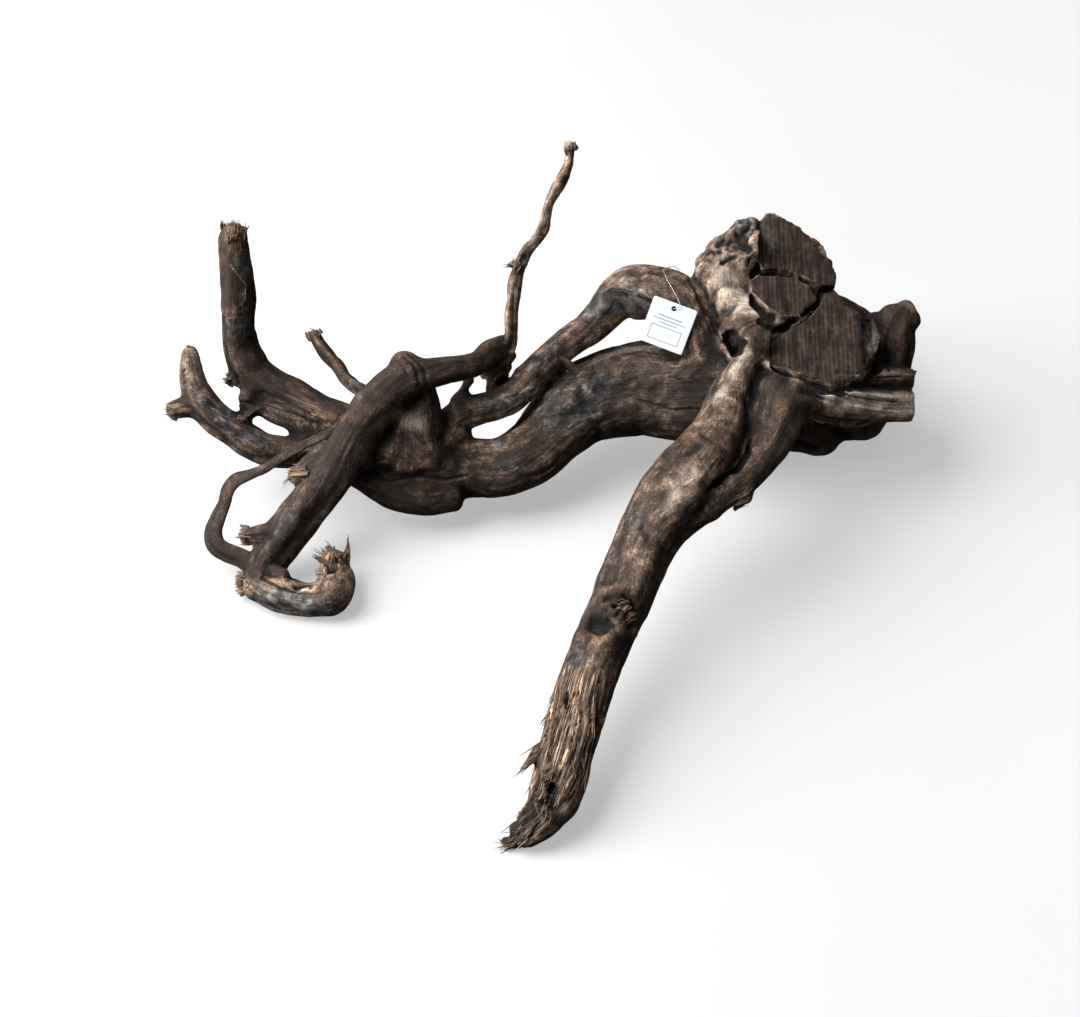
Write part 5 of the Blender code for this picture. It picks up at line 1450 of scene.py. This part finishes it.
# Its empty box: middle across and down, half width and half height, and half its line's thickness
CARD_BOX = (0.5, 0.72, 0.34, 0.15, 0.009)
CARD_PAPER = [(0.3, (0.335, 0.35, 0.40)), (0.7, (0.375, 0.39, 0.44))]
CARD_INK = (0.07, 0.075, 0.09, 1)


def card_material():
    """Plain white card with a faint tooth, blank ruled lines, an empty box and no words."""
    material, n, surface = new_material("plain_white_card")
    sheet = n.add("ShaderNodeUVMap", uv_map="card").outputs[0]
    across, down, _ = n.parts(sheet)
    tooth = n.noise(n.stretched(sheet, (60, 60, 60)), 1.0, 4.0, 0.7)
    cloud = n.noise(n.stretched(sheet, (3, 3, 3)), 1.0, 2.0, 0.5)
    paper = n.ramp(n.weighted((tooth, 0.4), (cloud, 0.6)), CARD_PAPER)
    inked = 0.0
    for middle, half_height, left, right in CARD_LINES:
        line = n.math("LESS_THAN", n.math("ABSOLUTE", n.math("SUBTRACT", down, middle)), half_height)
        line = n.math("MULTIPLY", line, n.math("GREATER_THAN", across, left))
        line = n.math("MULTIPLY", line, n.math("LESS_THAN", across, right))
        inked = n.math("MAXIMUM", inked, line)
    middle_across, middle_down, half_width, half_height, half_line = CARD_BOX
    from_side = n.math("ABSOLUTE", n.math("SUBTRACT", across, middle_across))
    from_middle = n.math("ABSOLUTE", n.math("SUBTRACT", down, middle_down))
    box = n.math("MAXIMUM", n.math("SUBTRACT", from_side, half_width),
                 n.math("SUBTRACT", from_middle, half_height))
    inked = n.math("MAXIMUM", inked, n.math("LESS_THAN", n.math("ABSOLUTE", box), half_line))
    paper = n.over(paper, CARD_INK, inked, 0.8)
    n.finish(surface, paper, n.rise(tooth, 0.2, 0.8, 0.5, 0.7), tooth, 0.25, 0.0001)
    return material


def loop_material():
    """Clear drawn plastic with faint drawing marks."""
    material, n, surface = new_material("clear_drawn_plastic")
    grain = n.noise(n.object_place(), 700.0, 2.0, 0.5)
    colour = n.ramp(grain, [(0.3, (0.50, 0.51, 0.53)), (0.7, (0.66, 0.67, 0.69))])
    surface.inputs["Transmission Weight"].default_value = 0.92
    surface.inputs["IOR"].default_value = 1.5
    n.finish(surface, colour, n.rise(grain, 0.2, 0.8, 0.12, 0.35), grain, 0.2, 0.0001)
    return material


def floor_material():
    """Pale matt paper for the floor, which glows a little so that its shadows stay light."""
    material, n, surface = new_material("pale_floor")
    spot = n.object_place()
    colour = n.ramp(n.noise(spot, 3.0, 2.0, 0.5), [(0.3, (0.20, 0.20, 0.202)), (0.7, (0.21, 0.21, 0.212))])
    # The glow rises towards the right: painted light that keeps that side of the floor as bright as the left
    glow = n.rise(n.parts(spot)[0], 0.1, 0.9, 0.42, 0.53)
    n.tree.links.new(colour, surface.inputs["Base Color"])
    n.tree.links.new(glow, surface.inputs["Emission Strength"])
    surface.inputs["Roughness"].default_value = 0.9
    surface.inputs["Specular IOR Level"].default_value = 0.1
    surface.inputs["Emission Color"].default_value = (1, 1, 1, 1)
    return material


# The named inputs of the fibre tree, by kind of socket
FIBRE_INPUTS = {
    "Geometry": "Geometry", "Steps": "Int", "Sides": "Int", "Bend": "Float", "Bend Size": "Float",
    "Flatness": "Float", "Seed": "Float", "Fibre": "Material",
}


def fibre_tree():
    """Geometry nodes: one thin, bent, tapering sliver of wood on every point."""
    tree = bpy.data.node_groups.new("torn_fibres", "GeometryNodeTree")
    for title, kind in FIBRE_INPUTS.items():
        tree.interface.new_socket(title, in_out="INPUT", socket_type=f"NodeSocket{kind}")
    tree.interface.new_socket("Geometry", in_out="OUTPUT", socket_type="NodeSocketGeometry")
    n = Nodes(tree)
    given = n.add("NodeGroupInput").outputs

    def stored(name, kind="FLOAT"):
        return n.add("GeometryNodeInputNamedAttribute", {"Name": name}, data_type=kind).outputs[0]

    line = n.add("GeometryNodeCurvePrimitiveLine", {"Start": (0, 0, 0), "End": (0, 0, 1)}).outputs[0]
    line = n.add("GeometryNodeResampleCurve", {"Curve": line, "Count": given["Steps"]}).outputs[0]
    turn = n.add("FunctionNodeAlignRotationToVector", {"Vector": stored("aim", "FLOAT_VECTOR")},
                 axis="Z").outputs[0]
    placed = n.add("GeometryNodeInstanceOnPoints", {"Points": given["Geometry"], "Instance": line,
                                                    "Rotation": turn, "Scale": stored("reach")})
    curves = n.add("GeometryNodeRealizeInstances", {"Geometry": placed.outputs[0]}).outputs[0]
    climb = n.add("GeometryNodeSplineParameter").outputs["Factor"]
    curves = n.add("GeometryNodeStoreNamedAttribute",
                   {"Geometry": curves, "Name": "fibre_climb", "Value": climb},
                   data_type="FLOAT", domain="POINT").outputs[0]
    where = n.add("GeometryNodeInputPosition").outputs[0]
    wander = n.add("ShaderNodeTexNoise", {"Vector": where, "W": given["Seed"],
                                          "Scale": given["Bend Size"], "Detail": 1.0},
                   noise_dimensions="4D").outputs["Color"]
    wander = n.add("ShaderNodeVectorMath", {0: wander, 1: (0.5, 0.5, 0.5)}, operation="SUBTRACT").outputs[0]
    amount = n.math("MULTIPLY", n.math("MULTIPLY", climb, climb),
                    n.math("MULTIPLY", given["Bend"], stored("reach")))
    shift = n.add("ShaderNodeVectorMath", {0: wander, "Scale": amount}, operation="SCALE").outputs[0]
    curves = n.add("GeometryNodeSetPosition", {"Geometry": curves, "Offset": shift}).outputs[0]
    taper = n.add("ShaderNodeMapRange", {0: climb, 1: 0.35, 2: 1.0, 3: 1.0, 4: 0.3}).outputs[0]
    width = n.math("MULTIPLY", taper, stored("thick"))
    profile = n.add("GeometryNodeCurvePrimitiveCircle", {"Resolution": given["Sides"], "Radius": 1.0})
    flat = n.add("ShaderNodeCombineXYZ", {0: 1.0, 1: given["Flatness"], 2: 1.0}).outputs[0]
    profile = n.add("GeometryNodeTransform", {"Geometry": profile.outputs[0], "Scale": flat}).outputs[0]
    slivers = n.add("GeometryNodeCurveToMesh", {"Curve": curves, "Profile Curve": profile,
                                                "Scale": width, "Fill Caps": True}).outputs[0]
    slivers = n.add("GeometryNodeRealizeInstances", {"Geometry": slivers}).outputs[0]
    slivers = n.add("GeometryNodeSetMaterial", {"Geometry": slivers, "Material": given["Fibre"]}).outputs[0]
    n.add("NodeGroupOutput", {"Geometry": slivers})
    return tree


def nodes_applied(thing, tree, sizes):
    """The object's mesh after the geometry nodes, with their named inputs set."""
    change = thing.modifiers.new("nodes", "NODES")
    change.node_group = tree
    for item in tree.interface.items_tree:
        if item.in_out == "INPUT" and item.name in sizes:
            change[item.identifier] = sizes[item.name]
    return applied(thing)


# Slivers at the torn ends: nine to a bundle, the first four broad and the rest thin
SLIVERS_IN_BUNDLE = 9
BROAD_IN_BUNDLE = 4
BROAD_LENGTH_SHARE = 0.8
THIN_LENGTH_SHARES = (0.4, 1.15)
BROAD_THICKNESS_MM = (1.5, 2.6)
THIN_THICKNESS_MM = (0.45, 0.9)
BUNDLE_WIDTH_MM = 1.5
LONGEST_SLIVER_MM = 18
EVEN_TURN = 2.39996

# Single fibres on the torn skin
SKIN_FIBRE_CHANCE = 0.16
SKIN_FIBRE_LENGTH_MM = (5, 17)
SKIN_FIBRE_THICKNESS_MM = (0.25, 0.7)


def scatter(draw):
    """A random step, as likely to go one way as another."""
    return Vector([draw.gauss(0, 1) for _ in range(3)])


def torn_end_fibres(draw):
    """Slivers at the torn ends, in bundles: root, aim, length, thickness and tone, in metres."""
    rows = []
    for start, towards, width, length, count in TORN_ENDS:
        base = sighted(*start)
        aim = (sighted(*towards) - base).normalized()
        side = aim.orthogonal().normalized()
        up = aim.cross(side)
        for bundle in range(count):
            turn = bundle * EVEN_TURN + draw.uniform(-0.4, 0.4)
            reach = width * MM * math.sqrt((bundle + 0.5) / count) * 0.95
            out = side * math.cos(turn) + up * math.sin(turn)
            stray = scatter(draw) * 0.12
            lean = (aim + out * draw.uniform(0.0, SPLINTER_SPREAD) + stray).normalized()
            middle = base + out * reach
            tall = min(length, LONGEST_SLIVER_MM) * MM * draw.uniform(0.45, 1.0)
            tone = draw.random()
            for i in range(SLIVERS_IN_BUNDLE):
                broad = i < BROAD_IN_BUNDLE
                apart = scatter(draw) * (BUNDLE_WIDTH_MM if i else 0.0) * MM
                own = (lean + scatter(draw) * 0.11).normalized()
                size = tall * (BROAD_LENGTH_SHARE if broad else draw.uniform(*THIN_LENGTH_SHARES))
                thick = draw.uniform(*(BROAD_THICKNESS_MM if broad else THIN_THICKNESS_MM)) * MM
                root = middle + apart - own * size * 0.5
                rows.append((root, own, size * 1.4, thick, 0.5 * tone + 0.5 * draw.random()))
    return rows


def surface_fibres(draw, body, lines):
    """Fibres that lift a little from the torn stretches of the skin, along its grain."""
    points, normals, _ = mesh_arrays(body.data)
    faces = [tuple(face.vertices) for face in body.data.polygons]
    tree = BVHTree.FromPolygons([tuple(p) for p in points], faces)
    torn = painted_spots(points, tree, TORN_WARM) + painted_spots(points, tree, LEG_FRAY) * 0.8
    chance = np.array([draw.random() for _ in range(len(points))])
    index = np.nonzero(chance < eased(torn, 0.35, 1.3) * SKIN_FIBRE_CHANCE)[0]
    best = np.full(len(index), FAR)
    way = np.zeros((len(index), 3))
    for line in lines:
        gap = along_line(points[index], line)[0]
        nearest = nearest_station(points[index], line["path"])
        closer = gap < best
        best[closer] = gap[closer]
        way[closer] = -line["along"][nearest][closer]
    rows = []
    for i, along in zip(index, way):
        normal = Vector(normals[i])
        along = Vector(along)
        along = (along - normal * along.dot(normal)).normalized()
        stray = scatter(draw) * 0.07
        lean = (along + normal * draw.uniform(-0.02, 0.16) + stray).normalized()
        size = draw.uniform(*SKIN_FIBRE_LENGTH_MM) * MM
        root = Vector(points[i]) - normal * 0.5 * MM - lean * size * 0.2
        thick = draw.uniform(*SKIN_FIBRE_THICKNESS_MM) * MM
        rows.append((root, lean, size, thick, draw.random()))
    return rows


FIBRE_SIZES = {"Steps": 5, "Sides": 5, "Bend": 0.35, "Bend Size": 45.0, "Flatness": 0.4,
               "Seed": float(SPLINTER_SEED)}
FIBRE_FLOOR_GAP_MM = 0.2


def fibre_object(name, rows, material, tree):
    """One mesh of slivers standing on the rows."""
    mesh = bpy.data.meshes.new(name)
    mesh.from_pydata([tuple(row[0]) for row in rows], [], [])
    aims = np.array([tuple(row[1]) for row in rows], dtype=np.float32)
    mesh.attributes.new("aim", "FLOAT_VECTOR", "POINT").data.foreach_set("vector", aims.ravel())
    for column, title in ((2, "reach"), (3, "thick"), (4, "fibre_tone")):
        values = np.array([row[column] for row in rows], dtype=np.float32)
        mesh.attributes.new(title, "FLOAT", "POINT").data.foreach_set("value", values)
    thing = new_object(name, mesh)
    nodes_applied(thing, tree, {**FIBRE_SIZES, "Fibre": material})
    points = mesh_arrays(thing.data)[0]
    points[:, 2] = np.maximum(points[:, 2], FIBRE_FLOOR_GAP_MM * MM)
    thing.data.vertices.foreach_set("co", points.ravel())
    thing.data.update()
    return thing


def card_frame():
    """The tag's top middle, hole, and unit vectors out of its face, across it and down it."""
    left, right, low = (sighted(*p) for p in (TAG_TOP_LEFT, TAG_TOP_RIGHT, TAG_BOTTOM_LEFT))
    across = (right - left).normalized()
    down = (low - left - across * (low - left).dot(across)).normalized()
    front = down.cross(across).normalized()
    if front.z < 0:
        front = -front
    top = (left + right) / 2
    return top, top + down * TAG_HOLE_INSET_MM * MM, front, across, down


# The card's mesh: rings of points from its hole to its edge, bowed forward towards the bottom
CARD_RINGS = 14
CARD_RING_POINTS = 96
CARD_BOW_MM = 0.9
CARD_EDGE_ROUND_MM = 0.12
CARD_EDGE_STEPS = 2


def reach_to_edge(turn, half):
    """From the hole's centre, how far the card's edge lies across and down, this way."""
    above = -TAG_HOLE_INSET_MM * MM
    reach = []
    for value, low, high in ((math.cos(turn), -half, half), (math.sin(turn), above, above + 2 * half)):
        limit = high if value > 0 else low
        reach.append(limit / value if abs(value) > 1e-6 else FAR)
    return math.cos(turn) * min(reach), math.sin(turn) * min(reach)


def hang_card(material):
    """The card: thin, a little bowed, with a round punched hole and softened edges."""
    _, hole, front, across, down = card_frame()
    half = TAG_SIDE_MM * MM / 2
    hole_radius = TAG_HOLE_RADIUS_MM * MM
    points, spots = [], []
    for ring in range(CARD_RINGS + 1):
        share = ring / CARD_RINGS
        for i in range(CARD_RING_POINTS):
            turn = math.tau * i / CARD_RING_POINTS
            start_a, start_b = math.cos(turn) * hole_radius, math.sin(turn) * hole_radius
            edge_a, edge_b = reach_to_edge(turn, half)
            a = start_a + (edge_a - start_a) * share
            b = start_b + (edge_b - start_b) * share
            bow = CARD_BOW_MM * MM * (b / (2 * half)) ** 2 * (0.6 + a / half * 0.4)
            points.append(hole + across * a + down * b + front * bow)
            spots.append((0.5 + a / (2 * half), (b + TAG_HOLE_INSET_MM * MM) / (2 * half)))
    faces = []
    for first in range(0, CARD_RINGS * CARD_RING_POINTS, CARD_RING_POINTS):
        after = first + CARD_RING_POINTS
        for i in range(CARD_RING_POINTS):
            k = (i + 1) % CARD_RING_POINTS
            faces.append((first + i, first + k, after + k, after + i))
    mesh = bpy.data.meshes.new("plain_hang_card")
    mesh.from_pydata([tuple(p) for p in points], [], faces)
    layer = mesh.uv_layers.new(name="card")
    for loop in mesh.loops:
        layer.data[loop.index].uv = spots[loop.vertex_index]
    thing = new_object("plain_hang_card", mesh)
    facing = Vector(mesh.polygons[0].normal).dot(front)
    wall = thing.modifiers.new("thickness", "SOLIDIFY")
    wall.thickness = TAG_THICKNESS_MM * MM
    wall.offset = -1.0 if facing > 0 else 1.0
    soft = thing.modifiers.new("softened", "BEVEL")
    soft.width = CARD_EDGE_ROUND_MM * MM
    soft.segments = CARD_EDGE_STEPS
    applied(thing)
    faced_outward(thing.data)
    thing.data.materials.append(material)
    return thing


# The loop's mesh: steps between two of its points, sides, and thickness beside the CAD's
LOOP_STEPS = 8
LOOP_RING_POINTS = 12
LOOP_THIN_SHARE = 0.6


def loop_path():
    """The loop's closed line: out of the hole, over the card's top edge and round the bough."""
    hole, front, across, down = card_frame()[1:]
    middle = sighted(*LOOP_CENTRE)
    along = (middle - sighted(*LOOP_AXIS_END)).normalized()
    near = (TOWARDS_EYE - along * TOWARDS_EYE.dot(along)).normalized()
    below = along.cross(near)
    knots = [hole, hole + front * 1.7 * MM,
             hole - down * (TAG_HOLE_INSET_MM + 1.0) * MM + (across * 3.0 + front * 1.3) * MM]
    for turn, reach in LOOP_ROUND_BOUGH:
        turn = math.radians(turn)
        knots.append(middle + (near * math.cos(turn) + below * math.sin(turn)) * reach * MM)
    knots.append(hole - front * 2.3 * MM)
    path = []
    for i in range(len(knots)):
        a, b, c, d = (knots[(i + k) % len(knots)] for k in (-1, 0, 1, 2))
        path += [between(a, b, c, d, t) for t in np.arange(LOOP_STEPS) / LOOP_STEPS]
    return path


def card_loop(material):
    """The clear plastic loop: a thin round tube along its closed line."""
    path = loop_path()
    sides, count, side = LOOP_RING_POINTS, len(path), None
    points, faces = [], []
    for i, centre in enumerate(path):
        way = (path[(i + 1) % count] - path[i - 1]).normalized()
        side = way.orthogonal() if side is None else side - way * side.dot(way)
        side.normalize()
        up = way.cross(side)
        for j in range(sides):
            turn = math.tau * j / sides
            out = side * math.cos(turn) + up * math.sin(turn)
            points.append(centre + out * LOOP_RADIUS_MM * LOOP_THIN_SHARE * MM)
            k, after = (j + 1) % sides, (i + 1) % count
            faces.append((i * sides + j, i * sides + k, after * sides + k, after * sides + j))
    thing = mesh_object("clear_tag_loop", points, faces)
    thing.data.materials.append(material)
    return thing


def smooth_shaded(thing):
    """Shades every face smoothly."""
    thing.data.shade_smooth()
    return thing


SENSOR_WIDTH_MM = 36.0
FLOOR_REACH = 9.0

# Soft square lights: place, target, side in metres and watts
LIGHTS = {
    "key": ((-1.35, 0.15, 2.2), (0, 0, 0.08), 1.7, 192), "side": ((-2.2, -0.1, 0.85), (0, 0, 0.08), 1.2, 104),
    "top": ((0.5, 1.3, 2.2), (0, 0, 0), 1.8, 9), "front": ((-0.6, -2.3, 1.2), (0, 0, 0.1), 1.8, 8),
}
SURROUND = [(0.0, (0.42, 0.39, 0.37)), (1.0, (0.95, 0.97, 1.0))]
SURROUND_STRENGTH = 0.17


def set_camera():
    """The picture's viewpoint."""
    lens = bpy.data.cameras.new("picture_view")
    lens.sensor_width = SENSOR_WIDTH_MM
    lens.lens = SENSOR_WIDTH_MM * VIEW_DISTANCE_MM / PICTURE_SCALE_MM / PICTURE_WIDTH
    lens.clip_start, lens.clip_end = 0.05, 50.0
    camera = new_object("picture_view", lens)
    camera.location = TOWARDS_EYE * VIEW_DISTANCE_MM * MM + Vector(CENTRE_SHIFT_MM) * MM
    camera.rotation_euler = (math.radians(90.0 - VIEW_ELEVATION_DEG), 0.0, 0.0)
    bpy.context.scene.camera = camera


def area_light(name, place, target, size, power):
    """A square soft light that faces its target."""
    lamp = bpy.data.lights.new(name, "AREA")
    lamp.size, lamp.energy = size, power
    thing = new_object(name, lamp)
    thing.location = place
    thing.rotation_euler = (Vector(target) - Vector(place)).to_track_quat("-Z", "Y").to_euler()


def set_surround():
    """An even surround, a little warmer and darker below, as light from the floor would be."""
    world = bpy.data.worlds.new("even_surround")
    bpy.context.scene.world = world
    world.use_nodes = True
    n = Nodes(world.node_tree)
    height = n.parts(n.add("ShaderNodeTexCoord").outputs["Generated"])[2]
    background = world.node_tree.nodes["Background"]
    n.tree.links.new(n.ramp(n.rise(height, -0.25, 0.15), SURROUND), background.inputs["Color"])
    background.inputs["Strength"].default_value = SURROUND_STRENGTH


def set_studio():
    """A wide pale floor, soft lights from the upper left and an even surround."""
    corners = [(x * FLOOR_REACH, y * FLOOR_REACH, 0) for x, y in ((-1, -1), (1, -1), (1, 1), (-1, 1))]
    floor = mesh_object("studio_floor", corners, [(0, 1, 2, 3)])
    floor.data.materials.append(floor_material())
    floor.visible_diffuse = False
    floor.visible_glossy = False
    for name, settings in LIGHTS.items():
        area_light(name, *settings)
    set_surround()
    bpy.context.scene.view_settings.view_transform = "Standard"


def dressed(thing, node):
    """Hangs a finished piece on the root's body, and hides the CAD part that it stands for, if any."""
    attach(thing, "root")
    if node:
        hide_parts(node)


set_camera()
set_studio()
lines = grain_lines()
body = wood_form()
body.name = "weathered_root"
tones = relief(body.data, lines)
thinned(body, tones)
grain_attribute(body, lines)
body.data.materials.clear()
body.data.materials.append(bog_wood_material())
smooth_shaded(body)
dressed(body, "bogwood_root")

draw = random.Random(SPLINTER_SEED)
rows = torn_end_fibres(draw) + surface_fibres(draw, body, lines)
fibres = smooth_shaded(fibre_object("torn_fibres", rows, fibre_material(), fibre_tree()))
dressed(fibres, None)

card = smooth_shaded(hang_card(card_material()))
dressed(card, "hang_tag")
loop = smooth_shaded(card_loop(loop_material()))
dressed(loop, "tag_loop")
